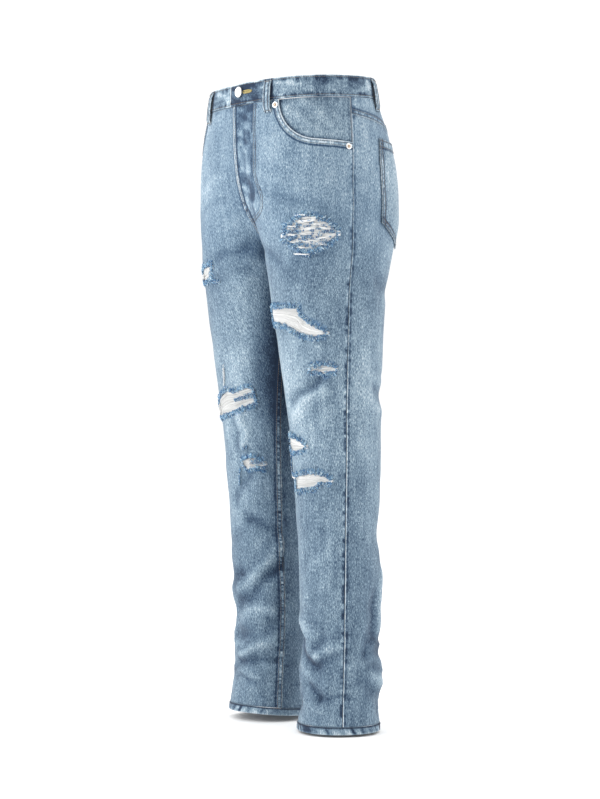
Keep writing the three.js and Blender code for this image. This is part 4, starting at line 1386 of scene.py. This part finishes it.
def band_wear_and_shading(half, c, z, along):
    """Light, dark and lift of the waistband at a distance c from the centre front: rubbed edges,
    fading and puckers, with painted shadow along its seam, beside and under the belt loops and on the
    end beneath the lapped end.
    """
    top, bottom = WAIST_TOP - z, z - WAIST_SEAM
    streak = smoothstep(0.5, 0.8, noise(along / 15.0, z / 5 + 9))
    light = 0.12 + 0.55 * bell(top, 1.6) + 0.55 * bell(bottom - 1.6, 1.1) + 0.45 * streak
    pucker_low = smoothstep(0.45, 0.75, noise(along / 3.6, 3.3)) * bell(bottom - 5, 3)
    pucker_top = smoothstep(0.5, 0.8, noise(along / 7.0, 7.7)) * bell(top - 5.5, 4)
    cloud = smoothstep(0.5, 0.8, noise(along / 24.0, z / 14 + 5))
    dark = 0.8 * pucker_low + 0.9 * pucker_top + 0.5 * cloud
    # Darker along the rows of stitches, with a painted shadow along the band's lower edge.
    dark = dark + 0.75 * bell(bottom - 3.4, 1.0) + 0.5 * bell(top - 3.2, 1.0) + 0.9 * bell(bottom, 1.2)
    if half > 0:
        end = smoothstep(64, 50, c)
        rumple = noise((z + 0.5 * c) / 5, c / 26)
        dark = dark + 1.25 * end * mix(0.35, 1.05, rumple) * smoothstep(1.5, 4.0, top)
        dark = dark + 0.9 * ellipse(c, z, (170, 10), (19, 6))
        light = light + 2.6 * bell(c + BAND_LAP, 1.5) + 0.9 * end * bell(top, 2.0)
        light = light + 0.8 * end * bell(bottom, 1.6)
    else:
        # Painted shadow on this end, where the lapped end lies over it.
        dark = dark + 1.2 * smoothstep(14.5, 10.5, c)
    # Painted shadow beside each belt loop, and painted shade on the band beneath it.
    for middle in (LOOP_FRONT, LOOP_BACK):
        beside = np.abs(c - middle)
        dark = dark + 1.1 * bell(beside - LOOP_WIDTH / 2 - 0.5, 2.0) + 0.7 * (beside < LOOP_WIDTH / 2)
    lift = -0.35 * (pucker_low + pucker_top) + 0.8 * (noise(along / 21, z / 16 + 2) - 0.5)
    lift = lift + 0.35 * bell(bottom - 3.5, 3.0) + 0.3 * bell(top - 2.5, 2.5)
    return light, dark, lift


def waistband():
    heights, outs, facing_out, kinds = rounded_section(
        WAIST_TOP, WAIST_SEAM + SEAM, BAND_PROUD, BAND_PROUD - BAND_WALL, 12)
    rows, uv, wear_and_shading = [], [], []
    along = 0.0
    for half, c, lift in band_places():
        w = band_w(np.float64(c), heights) if c > -0.001 or half > 0 else c - side_run(heights)
        light, dark, bump = band_wear_and_shading(half, c, heights, along)
        rows.append(surface(half, w, heights, outs + lift + bump * facing_out))
        uv.append(pairs(np.full(len(heights), along + BAND_GRAIN), heights))
        wear_and_shading.append(np.stack([light, dark, light * 0], 1))
        along += BAND_STEP
    obj = swept("waistband", rows, uv, wear_and_shading, kinds)
    add_sheet("waistband")
    band_stitches()


def band_stitches():
    """A row near the top edge, one near the seam, and one across the lapped end."""
    paths = []
    for half in (1, -1):
        start = END_ROW if half > 0 else 14.0
        c = stitch_grid(start, WAIST_HALF)[:-1]
        lift = lap_lift(c) if half > 0 else 0 * c
        index = (c + BAND_LAP) / (WAIST_HALF + BAND_LAP) * BAND_STEPS
        along = BAND_STEP * (index if half > 0 else 2 * BAND_STEPS - index)
        for height in (WAIST_SEAM + BAND_LOW_ROW, WAIST_TOP - BAND_TOP_ROW):
            z = np.full_like(c, height)
            _, _, bump = band_wear_and_shading(half, c, z, along)
            out = BAND_PROUD + lift + bump + STITCH_RISE[None, :] + 0.05
            paths.append(surface(half, band_w(c, z), z, out))
    z = stitch_grid(WAIST_SEAM + 4, WAIST_TOP - 4)
    c = np.full_like(z, END_ROW)
    _, _, bump = band_wear_and_shading(1, c, z, 0 * z)
    paths.append(surface(1, c - side_run(z), z, BAND_PROUD + BAND_LIFT + bump + 0.2))
    row_stitches("stitches_waistband", np.concatenate(paths), sides=4)


LOOP_ROW = 3.6              # from a loop's middle to each row of its stitches

# How far a belt loop stands out, by share of its length from its top.
LOOP_PROFILE = [(0.0, BAND_PROUD + 0.5), (0.06, BAND_PROUD + 0.6), (0.14, BAND_PROUD + LOOP_GAP),
                (0.5, BAND_PROUD + LOOP_GAP + 0.6), (0.86, BAND_PROUD + LOOP_GAP - 0.4),
                (0.94, 1.0), (1.0, 0.5)]


def loop_middle(from_centre, z):
    """w of a belt loop's middle, at the same share of the way round at every height."""
    return from_centre / WAIST_HALF * whole_run(z) - side_run(z)


def belt_loop(node, half, from_centre):
    shares = np.linspace(0, 1, 40)
    profile = np.array(LOOP_PROFILE)
    outs = np.interp(shares, profile[:, 0], profile[:, 1])
    outs = np.convolve(np.pad(outs, 2, "edge"), np.ones(5) / 5, "valid")
    half_width = LOOP_WIDTH / 2
    u = np.linspace(-1, 1, 9)
    crown = LOOP_WALL - 0.35 * np.abs(u) ** 6 + 0.35 * bell(np.abs(u) - 0.75, 0.16)
    across = np.concatenate([u * half_width, -u * half_width * 0.985])
    proud = np.concatenate([crown, np.zeros(9)])
    rows, uv, wear_and_shading = [], [], []
    for share, out in zip(shares, outs):
        z = np.full(len(across), mix(LOOP_TOP, LOOP_BOTTOM, share))
        ripple = 0.3 * (noise(share * 9, across / 6) - 0.5)
        rows.append(surface(half, loop_middle(from_centre, z) + across, z, out + proud + ripple))
        uv.append(pairs(across + LOOP_GRAIN, z))
        blot = smoothstep(0.45, 0.75, noise(share * 8 + from_centre, across / 4))
        light = 0.9 * bell(np.abs(across) - half_width, 1.6) + 0.45 * bell(across, 3.0)
        # The loop's back face, against the band, is painted in shade.
        dark = 0.3 * blot + 0.9 * bell(np.abs(across) - LOOP_ROW, 1.0) + (proud < 0.5)
        wear_and_shading.append(np.stack([light, dark, light * 0], 1))
    obj = swept(node, rows, uv, wear_and_shading)
    add_sheet(node)
    loop_stitches(node, half, from_centre, shares, outs)


def loop_stitches(node, half, from_centre, shares, outs):
    """Two rows down the loop and a bar tack across each end."""
    paths = []
    for offset in (-LOOP_ROW, LOOP_ROW):
        s = stitch_grid(0.06, 0.93, 2.9 / (LOOP_TOP - LOOP_BOTTOM))
        z = mix(LOOP_TOP, LOOP_BOTTOM, s)
        out = np.interp(s, shares, outs) + LOOP_WALL + np.array([0, 0.25, 0.32, 0.25, 0])
        paths += list(surface(half, loop_middle(from_centre, z) + offset, z, out))
    for share in (0.035, 0.955):
        out = np.interp(share, shares, outs) + LOOP_WALL + 0.3
        for k in range(7):
            z = np.full(5, mix(LOOP_TOP, LOOP_BOTTOM, share)) + (k % 2) * 0.7
            w = loop_middle(from_centre, z) + (k - 3) * 1.6 + np.linspace(-0.9, 0.9, 5)
            paths.append(surface(half, w, z, out))
    row_stitches(f"stitches_{node}", paths)


HEM_FACES = (0.7, -1.7)     # a hem's outside and inside, from the cloth's face
HEM_STATIONS = 260          # round it


def hem(half, side_name):
    """The turned-up hem: a rolled band that twists a little, light on its ridges."""
    heights, outs, facing_out, kinds = rounded_section(HEM_TOP - SEAM, HEM_BOTTOM, *HEM_FACES, 7)
    low = heights - HEM_BOTTOM
    girth = float(whole_run(HEM_BOTTOM))
    seed = 5 if half > 0 else 23
    rows, uv, wear_and_shading = [], [], []
    for i in range(HEM_STATIONS):
        share = i / HEM_STATIONS
        w = share * whole_run(heights) - side_run(heights)
        along = share * girth
        ease = min(1.0, min(share, 1 - share) * 12)
        wave = noise((along + low * 0.55) / 5.2 + seed, 2.2) * ease + 0.5 * (1 - ease)
        ridge, hollow = smoothstep(0.55, 0.85, wave), smoothstep(0.45, 0.18, wave)
        bump = (0.75 * (wave - 0.5)) * facing_out * bell(low - 5, 6)
        rows.append(surface(half, w, heights, outs + bump))
        uv.append(pairs(np.full(len(w), along + HEM_GRAIN), heights))
        light = 0.5 * ridge * bell(low - 4, 5) + 0.5 * bell(low, 1.8)
        dark = 0.05 + 1.2 * hollow * bell(low - 6, 6) + 1.1 * bell(low - 10.6, 1.0)
        wear_and_shading.append(np.stack([light, dark, light * 0], 1))
    node = f"hem_{side_name}"
    obj = swept(node, rows, uv, wear_and_shading, kinds, closed_path=True)
    add_sheet(node)
    shares = np.array([0.12, 0.32, 0.5, 0.68, 0.88])
    run = stitch_grid(0, float(whole_run(HEM_TOP)) - STITCH, shares=shares)
    z = np.full_like(run, HEM_TOP - 1.6)
    rise = np.array([-0.05, 0.18, 0.24, 0.18, -0.05])[None, :]
    row_stitches(f"stitches_{node}", surface(half, run - side_run(z), z, HEM_FACES[0] + rise), 0.42,
                 (0.7, 1.3), dark_stitch, taper=0.3)


# ------------------------------------------------------------------ yarns across the rips

YARN_BED = (-1.5, -2.1)     # top and underside of a rip's yarns, from the cloth's face
YARNS_PER_MM = 2.1          # down a rip
YARN_POINTS = 22            # along a pale yarn
FRAY_POINTS = 4             # along a short blue thread
YARN_WIDTHS = (0.24, 0.42)
FRAY_WIDTHS = (0.22, 0.42)


def joined(threads, more):
    """Two lots of (paths, shades, widths) as one."""
    return [a + b for a, b in zip(threads, more)]


def yarn_patch(name, half, stations, bright):
    """The bed of pale weft left across a rip: a thin closed sheet, streaked along its yarns."""
    s = np.asarray(stations, float)
    inset = 0.6
    w0, w1 = s[0, 0] - 0.5, s[-1, 0] + 0.5
    columns = max(8, round((w1 - w0) / 1.6))
    rows = max(4, round((s[:, 1] - s[:, 2]).max() / 1.2))
    w = np.linspace(w0, w1, columns + 1)
    upper, lower = rip_edge(s, 0, w), rip_edge(s, 1, w)
    grid_w = np.broadcast_to(w[None, :], (rows + 1, columns + 1))
    down = np.linspace(0, 1, rows + 1)[:, None]
    grid_z = upper + inset + (lower - upper - 2 * inset) * down
    ripple = 0.7 * (noise(grid_w / 26, grid_z / 1.6) - 0.5)
    layers = [surface(half, grid_w, grid_z, out + ripple).reshape(-1, 3) for out in YARN_BED]
    count = grid_w.size
    index = np.arange(count).reshape(rows + 1, columns + 1)
    faces = []
    for r in range(rows):
        for c in range(columns):
            a, b, d, e = (int(index[i, j]) for i, j in ((r, c), (r, c + 1), (r + 1, c + 1), (r + 1, c)))
            faces.append((a, e, d, b))
            faces.append((a + count, b + count, d + count, e + count))
    ring = np.concatenate([index[0, :], index[1:, -1], index[-1, -2::-1], index[-2:0:-1, 0]]).tolist()
    for a, b in zip(ring, ring[1:] + ring[:1]):
        faces.append((a, b, b + count, a + count))
    streak = bright * (0.82 + 0.28 * noise(grid_w / 22 + 3, grid_z / 0.9))
    shade = np.repeat(np.tile(streak.reshape(-1), 2)[:, None], 3, 1)
    obj = make_object(name, np.concatenate(layers), faces, [yarn_white], wear_and_shading=shade)
    outward(obj)
    add_sheet(name)
    return s, w0, w1


def weft_strands(half, s, w0, w1, bright):
    """Single pale yarns that run across the rip, some slack, some broken and hanging."""
    count = int((s[:, 1] - s[:, 2]).max() * YARNS_PER_MM)
    t = np.linspace(0, 1, YARN_POINTS)
    middle = np.sin(t * math.pi)
    paths, shades, widths = [], [], []
    for k in range(count):
        v = (k + rng.uniform(0.1, 0.9)) / count
        a = w0 + rng.uniform(-6.0, 1.0)
        b = w1 + rng.uniform(-1.0, 6.0)
        if rng.random() < 0.22:
            cut = rng.uniform(0.25, 0.8)
            if rng.random() < 0.5:
                b = mix(a, b, cut)
            else:
                a = mix(a, b, 1 - cut)
        w = mix(a, b, t)
        stray = 0.10 * (noise(t * 3 + k * 3.1, k * 1.7) - 0.5) * middle
        slack = rng.uniform(0, 1) ** 2 * 1.4
        z = rip_edge(s, np.clip(v + stray, 0.0, 1.0), w) - slack * middle
        hole = window(w, s[0, 0] + 1.5, s[-1, 0] - 1.5)
        paths.append(surface(half, w, z, 0.7 - 1.8 * hole + rng.uniform(0, 1.6) * middle))
        shades.append(bright * rng.uniform(0.74, 1.12))
        widths.append(rng.uniform(*YARN_WIDTHS))
    return paths, shades, widths


# Colours of the threads along a torn edge, from dark blue to white, and how common each is there.
FRAY_SHADES = [(0.15, 0.24, 0.42), (0.50, 0.70, 0.88), (1.1, 1.2, 1.18), (2.3, 1.85, 1.5)]
FRAY_SHARES = [0.22, 0.28, 0.27, 0.23]
LOOSE_SHARES = [0.40, 0.30, 0.16, 0.14]
TUFT_PITCH = 0.85
TUFT_REACH = 12.0


def fray(half, hole):
    """Tufts of short curled threads along a torn edge: paths, colours and widths."""
    edge = closed(hole)
    run = np.concatenate([[0], np.cumsum(np.hypot(*np.diff(edge, axis=0).T))])
    count = int(run[-1] / TUFT_PITCH)
    at = np.sort(rng.uniform(0, run[-1], count))
    point = lambda place: np.array([np.interp(place, run, edge[:, 0]), np.interp(place, run, edge[:, 1])])
    w0, z0 = point(at)
    ahead_w, ahead_z = point(at + 2.5) - point(at - 2.5)
    length = np.hypot(ahead_w, ahead_z) + 1e-9
    out_w, out_z = -ahead_z / length, ahead_w / length
    clump = noise(at / 5.0, 6.6)
    t = np.linspace(0, 1, FRAY_POINTS)
    paths, shades, widths = [], [], []
    for k in range(count):
        upright = 1.0 if abs(out_z[k]) > 0.45 else 0.15
        far = TUFT_REACH * rng.uniform(0.35, 1.0) * (0.45 + 0.8 * clump[k]) * upright
        begin = rng.uniform(-0.25, 0.6) * far
        lean = rng.normal(0, 1.6)
        for _ in range(rng.integers(4, 8)):
            end = begin + rng.uniform(2.0, 5.5) * (0.4 + 0.6 * upright)
            curl = rng.normal(0, 1.0, 2)
            d = begin + (end - begin) * t
            w = w0[k] + out_w[k] * d + (lean + rng.normal(0, 0.6)) * t + curl[0] * np.sin(t * 3.1)
            z = z0[k] + out_z[k] * d + curl[1] * np.sin(t * 2.7) * 0.8
            lift = 0.6 + rng.uniform(0.5, 3.2) * np.sin(t * math.pi * 0.85 + 0.25)
            paths.append(np.stack([w, z, lift], 1))
            shades.append(FRAY_SHADES[rng.choice(4, p=FRAY_SHARES)])
            widths.append(rng.uniform(*FRAY_WIDTHS))
    flat = np.array(paths)
    paths = surface(half, flat[..., 0], flat[..., 1], flat[..., 2])
    return list(paths), shades, widths


# Loose cloth in and beside the rips, as lines (w, z) from, (w, z) to, half depth. Warp is left
# in short upright tufts scattered along its line; weft runs along its line as pale yarns.
TUFTS = {
    "rip_thigh_left": [
        ((-110, -229), (-90, -230), 2.8), ((-110, -240), (-88, -238), 3.0), ((-83, -239), (-66, -238), 2.4),
        ((-60, -240), (-54, -238), 1.6), ((-86, -250), (-70, -251), 2.4), ((-49, -231), (-33, -229), 2.2),
        ((-86, -259), (-66, -260), 2.2), ((-110, -219), (-96, -217), 2.2), ((-56, -247), (-44, -246), 1.6),
        ((-76, -222), (-68, -221), 1.3), ((-92, -219), (-84, -220), 1.4), ((-60, -226), (-52, -226), 1.2),
        ((-86, -264), (-66, -268), 2.2), ((-92, -209), (-72, -205), 1.5),
    ],
    "rip_thigh_right": [((-136, -264), (-108, -268), 3.5), ((-140, -296), (-112, -292), 3.5)],
    "rip_knee_right": [((-149, -479), (-132, -482), 4.4), ((-136, -482), (-110, -488), 2.6),
                       ((-149, -468), (-149, -496), 2.2), ((-150, -494), (-132, -498), 2.6)],
    "rip_shin_right": [((-136, -590), (-116, -588), 3.2), ((-116, -564), (-106, -567), 2.2),
                       ((-112, -580), (-98, -585), 3.0), ((-94, -600), (-86, -627), 1.8),
                       ((-140, -604), (-120, -600), 2.6)],
    "rip_calf_left": [((-124, -572), (-124, -602), 2.6), ((-122, -604), (-92, -608), 2.6)],
    "rip_knee_left": [((-48, -450), (-30, -452), 2.0), ((-60, -433), (-36, -431), 2.0),
                      ((-50, -439), (-40, -440), 1.0), ((-36, -445), (-28, -446), 1.0)],
    "rip_above_knee_left": [((-74, -392), (-44, -396), 2.4), ((-178, -342), (-128, -338), 2.4)],
}
BUNDLES = {
    "rip_thigh_left": [
        ((-93, -205), (-72, -205), 0.7), ((-108, -221), (-90, -222), 0.8), ((-86, -215), (-60, -212), 1.6),
        ((-82, -227), (-60, -224), 1.6), ((-88, -232), (-72, -235), 0.9), ((-62, -242), (-38, -238), 1.5),
        ((-62, -249), (-42, -250), 1.1), ((-93, -264), (-69, -265), 0.9), ((-46, -236), (-28, -235), 1.2),
        ((-54, -225), (-36, -226), 0.9), ((-106, -234), (-90, -235), 0.6), ((-102, -245), (-84, -245), 0.7),
        ((-92, -254), (-74, -255), 0.7), ((-68, -219), (-52, -219), 0.9), ((-80, -209), (-58, -209), 1.0),
    ],
    "rip_knee_right": [((-98, -428), (-88, -466), 1.3), ((-126, -490), (-96, -494), 1.0),
                       ((-52, -500), (-8, -506), 8.0)],
    "rip_thigh_right": [((-86, -283), (-54, -286), 5.0)],
    "rip_calf_left": [((-127, -570), (-124, -606), 0.6), ((-122, -609), (-92, -612), 0.8)],
    "rip_shin_right": [((-126, -597), (-104, -600), 0.8)],
}


def loose_warp(half, start, end, depth, proud):
    """Paths, colours and widths of the short blue threads scattered along a line."""
    start, end = np.array(start, float), np.array(end, float)
    reach = float(np.hypot(*(end - start)))
    t = np.linspace(0, 1, FRAY_POINTS)
    paths, shades, widths = [], [], []
    for _ in range(int(max(reach, 4) * depth * 2.4)):
        w, z = mix(start, end, rng.uniform(0, 1)) + rng.uniform(-1, 1, 2) * (depth * 0.6, depth)
        w = w + rng.normal(0, 0.9) * t
        z = z + rng.uniform(1.2, 3.2) * (t - 0.5)
        paths.append(surface(half, w, z, proud + rng.uniform(0.3, 1.8) * np.sin(t * math.pi)))
        shades.append(FRAY_SHADES[rng.choice(4, p=LOOSE_SHARES)])
        widths.append(rng.uniform(*FRAY_WIDTHS))
    return paths, shades, widths


def loose_weft(half, start, end, depth, bright):
    """Paths, colours and widths of the pale yarns bunched along a line."""
    start, end = np.array(start, float), np.array(end, float)
    t = np.linspace(0, 1, YARN_POINTS)
    paths, shades, widths = [], [], []
    steep = abs(end[1] - start[1]) > abs(end[0] - start[0])
    for _ in range(int((5 + depth * 5) * (3 if steep else 1))):
        a, b = rng.uniform(-0.12, 0.15), rng.uniform(0.85, 1.12)
        if steep:
            a = rng.uniform(0, 0.85)
            b = a + rng.uniform(0.08, 0.18)
        off = depth * rng.uniform(-1, 1) + 2.0 * (noise(t * 3 + start[0], rng.uniform(0, 90)) - 0.5)
        w = mix(start[0], end[0], mix(a, b, t)) + off * steep
        z = mix(start[1], end[1], mix(a, b, t)) + off * (not steep)
        paths.append(surface(half, w, z, 0.9 + rng.uniform(0.5, 2.2) * np.sin(t * math.pi)))
        shades.append(bright * rng.uniform(0.86, 1.02))
        widths.append(rng.uniform(0.20, 0.36))
    return paths, shades, widths


LACE_CLUMPS = 84            # in the shredded patch over the left thigh
LACE_WIDTHS = (1.0, 3.2)    # half a clump's width


def lace(half, hole, count):
    """Tiny clumps of blue warp all over a shredded patch, standing proud of its pale yarns."""
    low, high = hole.min(0), hole.max(0)
    threads = [[], [], []]
    while count:
        w, z = rng.uniform(low, high)
        if not inside(np.array([w]), np.array([z]), hole)[0]:
            continue
        wide = rng.uniform(*LACE_WIDTHS)
        clump = loose_warp(half, (w - wide, z), (w + wide, z), rng.uniform(0.7, 1.3), 1.2)
        threads = joined(threads, clump)
        count -= 1
    return threads


def rips():
    for name, (half, stations) in RIPS.items():
        laced = name == "rip_thigh_left"
        # The shredded patch's yarns are painted brighter, to make up for the weaker light on that part of
        # the hip.
        bright = 1.24 if laced else 1.06
        s, w0, w1 = yarn_patch(name, half, stations, bright)
        weft = weft_strands(half, s, w0, w1, bright)
        for line in BUNDLES.get(name, ()):
            weft = joined(weft, loose_weft(half, *line, bright))
        edge = fray(half, HOLES[name])
        for line in TUFTS.get(name, ()):
            edge = joined(edge, loose_warp(half, *line, proud=1.0))
        if laced:
            edge = joined(edge, lace(half, HOLES[name], LACE_CLUMPS))
        for part, (paths, shades, widths), material, sides, slot in (
                ("yarns", weft, yarn_white, 4, "white_yarn"), ("fray", edge, yarn_blue, 3, "denim")):
            strands(f"{name}_{part}", paths, np.array(widths), shades, material, sides, 0.4)


# ------------------------------------------------------------------ button and rivets

def turned(node, profile, half, w, z, out, materials, kinds, sides):
    """A turned metal piece standing on the cloth. profile gives its rings (radius, height)."""
    z = np.float64(z)
    base = surface(half, w, z, out)
    axis = surface(half, w, z, out + 10) - base
    axis /= np.linalg.norm(axis)
    one = np.cross(axis, (0, 0, 1.0))
    one /= np.linalg.norm(one)
    two = np.cross(axis, one)
    turns = [2 * math.pi * k / sides for k in range(sides)]
    points = [base + axis * h + r * (math.cos(t) * one + math.sin(t) * two)
              for r, h in profile for t in turns]
    faces, face_kinds = [], []
    for i in range(len(profile) - 1):
        for k in range(sides):
            n = (k + 1) % sides
            faces.append((i * sides + k, i * sides + n, (i + 1) * sides + n, (i + 1) * sides + k))
            face_kinds.append(kinds[i])
    faces.append(tuple(reversed(range(sides))))
    faces.append(tuple((len(profile) - 1) * sides + k for k in range(sides)))
    face_kinds += [kinds[0], kinds[-1]]
    obj = make_object(node, points, faces, materials, face_kinds)
    outward(obj)
    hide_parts(node)


# Turned outlines: (radius, height) rings from the cloth outwards.
BUTTON = [(3.0, 0.0), (3.0, 2.0), (7.9, 2.3), (8.4, 2.7), (8.5, 3.3), (8.35, 4.0), (7.9, 4.5),
          (7.2, 4.7), (6.6, 4.45), (6.2, 4.3), (4.0, 4.42), (2.0, 4.48), (0.4, 4.5)]
RIVET = [(4.9, 0.0), (5.0, 0.4), (4.9, 0.9), (4.5, 1.3), (3.9, 1.45), (3.2, 1.3), (2.7, 0.95),
         (2.5, 0.9), (2.3, 1.2), (1.9, 1.6), (1.2, 1.85), (0.3, 1.9)]
BUTTON_FROM_CENTRE = 17.0
BUTTON_Z = 4.0
HOLE_FROM_CENTRE = 34.0     # the buttonhole's middle; its half length and half height
HOLE_REACH = 9.5
HOLE_HEIGHT = 1.9
HOLE_STITCHES = 96
RIVET_PROUD = 1.1
RIVET_PLACES = {"top": (-127.0, -25.0), "side": (-9.0, -96.0)}


def hardware():
    button_w = BUTTON_FROM_CENTRE - float(side_run(BUTTON_Z))
    turned("waist_button", BUTTON, 1, button_w, BUTTON_Z, BAND_PROUD + BAND_LIFT + 0.3, [nickel],
           [0] * (len(BUTTON) - 1), 48)
    rim_then_centre = [0] * 6 + [1] * 5
    for half, side_name in ((1, "left"), (-1, "right")):
        for place, (w, z) in RIVET_PLACES.items():
            turned(f"rivet_{side_name}_{place}", RIVET, half, w, z, RIVET_PROUD,
                   [nickel, tarnish], rim_then_centre, 32)


def buttonhole():
    """The keyhole's thread: a dense ring of short stitches round a slot, wider at its eye."""
    s = np.linspace(-1.0, 1.0, 5)
    paths = []
    for k in range(HOLE_STITCHES):
        t = 2 * math.pi * k / HOLE_STITCHES
        across, up = math.cos(t), math.sin(t)
        eye = 0.5 * (across < -0.6)
        c = HOLE_FROM_CENTRE + HOLE_REACH * across + s * 0.9 * across
        z = BUTTON_Z - 0.5 + HOLE_HEIGHT * up * (0.8 + eye)
        z = z + s * 1.5 * (up if abs(up) > 0.3 else 0.3)
        out = BAND_PROUD + lap_lift(c) + 0.5 + 0.25 * (1 - s ** 2)
        paths.append(surface(1, c - side_run(z), z, out))
    row_stitches("buttonhole", paths, 0.4, (0.75, 1.2), hole_thread, taper=0.3)


# ------------------------------------------------------------------ build everything

for half, side_name in ((1, "left"), (-1, "right")):
    front_panel(half, side_name)
    back_panel(half, side_name)
    yoke(half, side_name)
    facing(half, side_name)
    back_pocket(half, side_name)
    hem(half, side_name)
    belt_loop(f"loop_front_{side_name}", half, LOOP_FRONT)
    belt_loop(f"loop_back_{side_name}", half, LOOP_BACK)
belt_loop("loop_centre", 1, WAIST_HALF)
waistband()
rips()
hardware()
buttonhole()

# ------------------------------------------------------------------ stage, light and camera

# The view, in metres from the origin: the camera goes round the front towards the left side.
VIEW_AZIMUTH = math.radians(54)
VIEW_DISTANCE = 3.2
EYE_HEIGHT = -0.512
AIM_RIGHT = 0.0129
AIM_HEIGHT = -0.487
LENS = 89.08
SENSOR = 36
FLOOR_GAP = 0.004

white = Recipe("stage_white", 0.9, {"Base Color": (0.95, 0.95, 0.95, 1)}).material
bpy.ops.mesh.primitive_plane_add(size=40, location=(0, 0, HEM_BOTTOM * MM - FLOOR_GAP))
floor = bpy.context.object
floor.name = "floor"
floor.data.materials.append(white)

world = bpy.data.worlds.new("studio")
bpy.context.scene.world = world
world.use_nodes = True
sky = world.node_tree.nodes["Background"]
sky.inputs[0].default_value = (1, 1, 1, 1)

right = Vector((math.cos(VIEW_AZIMUTH), math.sin(VIEW_AZIMUTH), 0))
toward = Vector((math.sin(VIEW_AZIMUTH), -math.cos(VIEW_AZIMUTH), 0))


def area_light(name, place, target, size, power):
    data = bpy.data.lights.new(name, "AREA")
    data.shape = "RECTANGLE"
    data.size, data.size_y = size
    data.energy = power
    light = bpy.data.objects.new(name, data)
    light.location = place
    light.rotation_euler = (Vector(target) - Vector(place)).to_track_quat("-Z", "Y").to_euler()
    bpy.context.scene.collection.objects.link(light)


def studio_sky(tree, sky, behind, camera_side, overhead):
    """White backdrop behind the garment, dimmer on the camera's side and brighter overhead."""
    place = tree.nodes.new("ShaderNodeTexCoord")

    def ramp_along(direction, start, end, low, high):
        dot = tree.nodes.new("ShaderNodeVectorMath")
        dot.operation = "DOT_PRODUCT"
        dot.inputs[1].default_value = direction
        tree.links.new(place.outputs["Generated"], dot.inputs[0])
        span = tree.nodes.new("ShaderNodeMapRange")
        for name, value in (("From Min", start), ("From Max", end), ("To Min", low), ("To Max", high)):
            span.inputs[name].default_value = value
        tree.links.new(dot.outputs["Value"], span.inputs["Value"])
        return span.outputs[0]

    total = tree.nodes.new("ShaderNodeMath")
    tree.links.new(ramp_along(toward, -0.7, 0.5, behind, camera_side), total.inputs[0])
    tree.links.new(ramp_along((0, 0, 1), 0.1, 0.9, 0.0, overhead), total.inputs[1])
    tree.links.new(total.outputs[0], sky.inputs[1])


studio_sky(world.node_tree, sky, behind=1.06, camera_side=0.62, overhead=0.75)
middle = Vector((0, 0, -0.5))
for name, across, nearer, up, size, power in (("key", -2.4, 0.9, 1.0, (1.0, 2.4), 52),
                                              ("side", 2.4, 0.8, 0.6, (0.8, 2.4), 20)):
    place = middle + across * right + nearer * toward + Vector((0, 0, up))
    area_light(name, place, middle, size, power)

camera_data = bpy.data.cameras.new("camera")
camera_data.sensor_fit = "VERTICAL"
camera_data.sensor_height = SENSOR
camera_data.lens = LENS
camera_data.clip_end = 60
camera = bpy.data.objects.new("camera", camera_data)
camera.location = VIEW_DISTANCE * toward + Vector((0, 0, EYE_HEIGHT))
aim = AIM_RIGHT * right + Vector((0, 0, AIM_HEIGHT))
camera.rotation_euler = (aim - camera.location).to_track_quat("-Z", "Y").to_euler()
bpy.context.scene.collection.objects.link(camera)
bpy.context.scene.camera = camera
bpy.context.scene.view_settings.view_transform = "Standard"
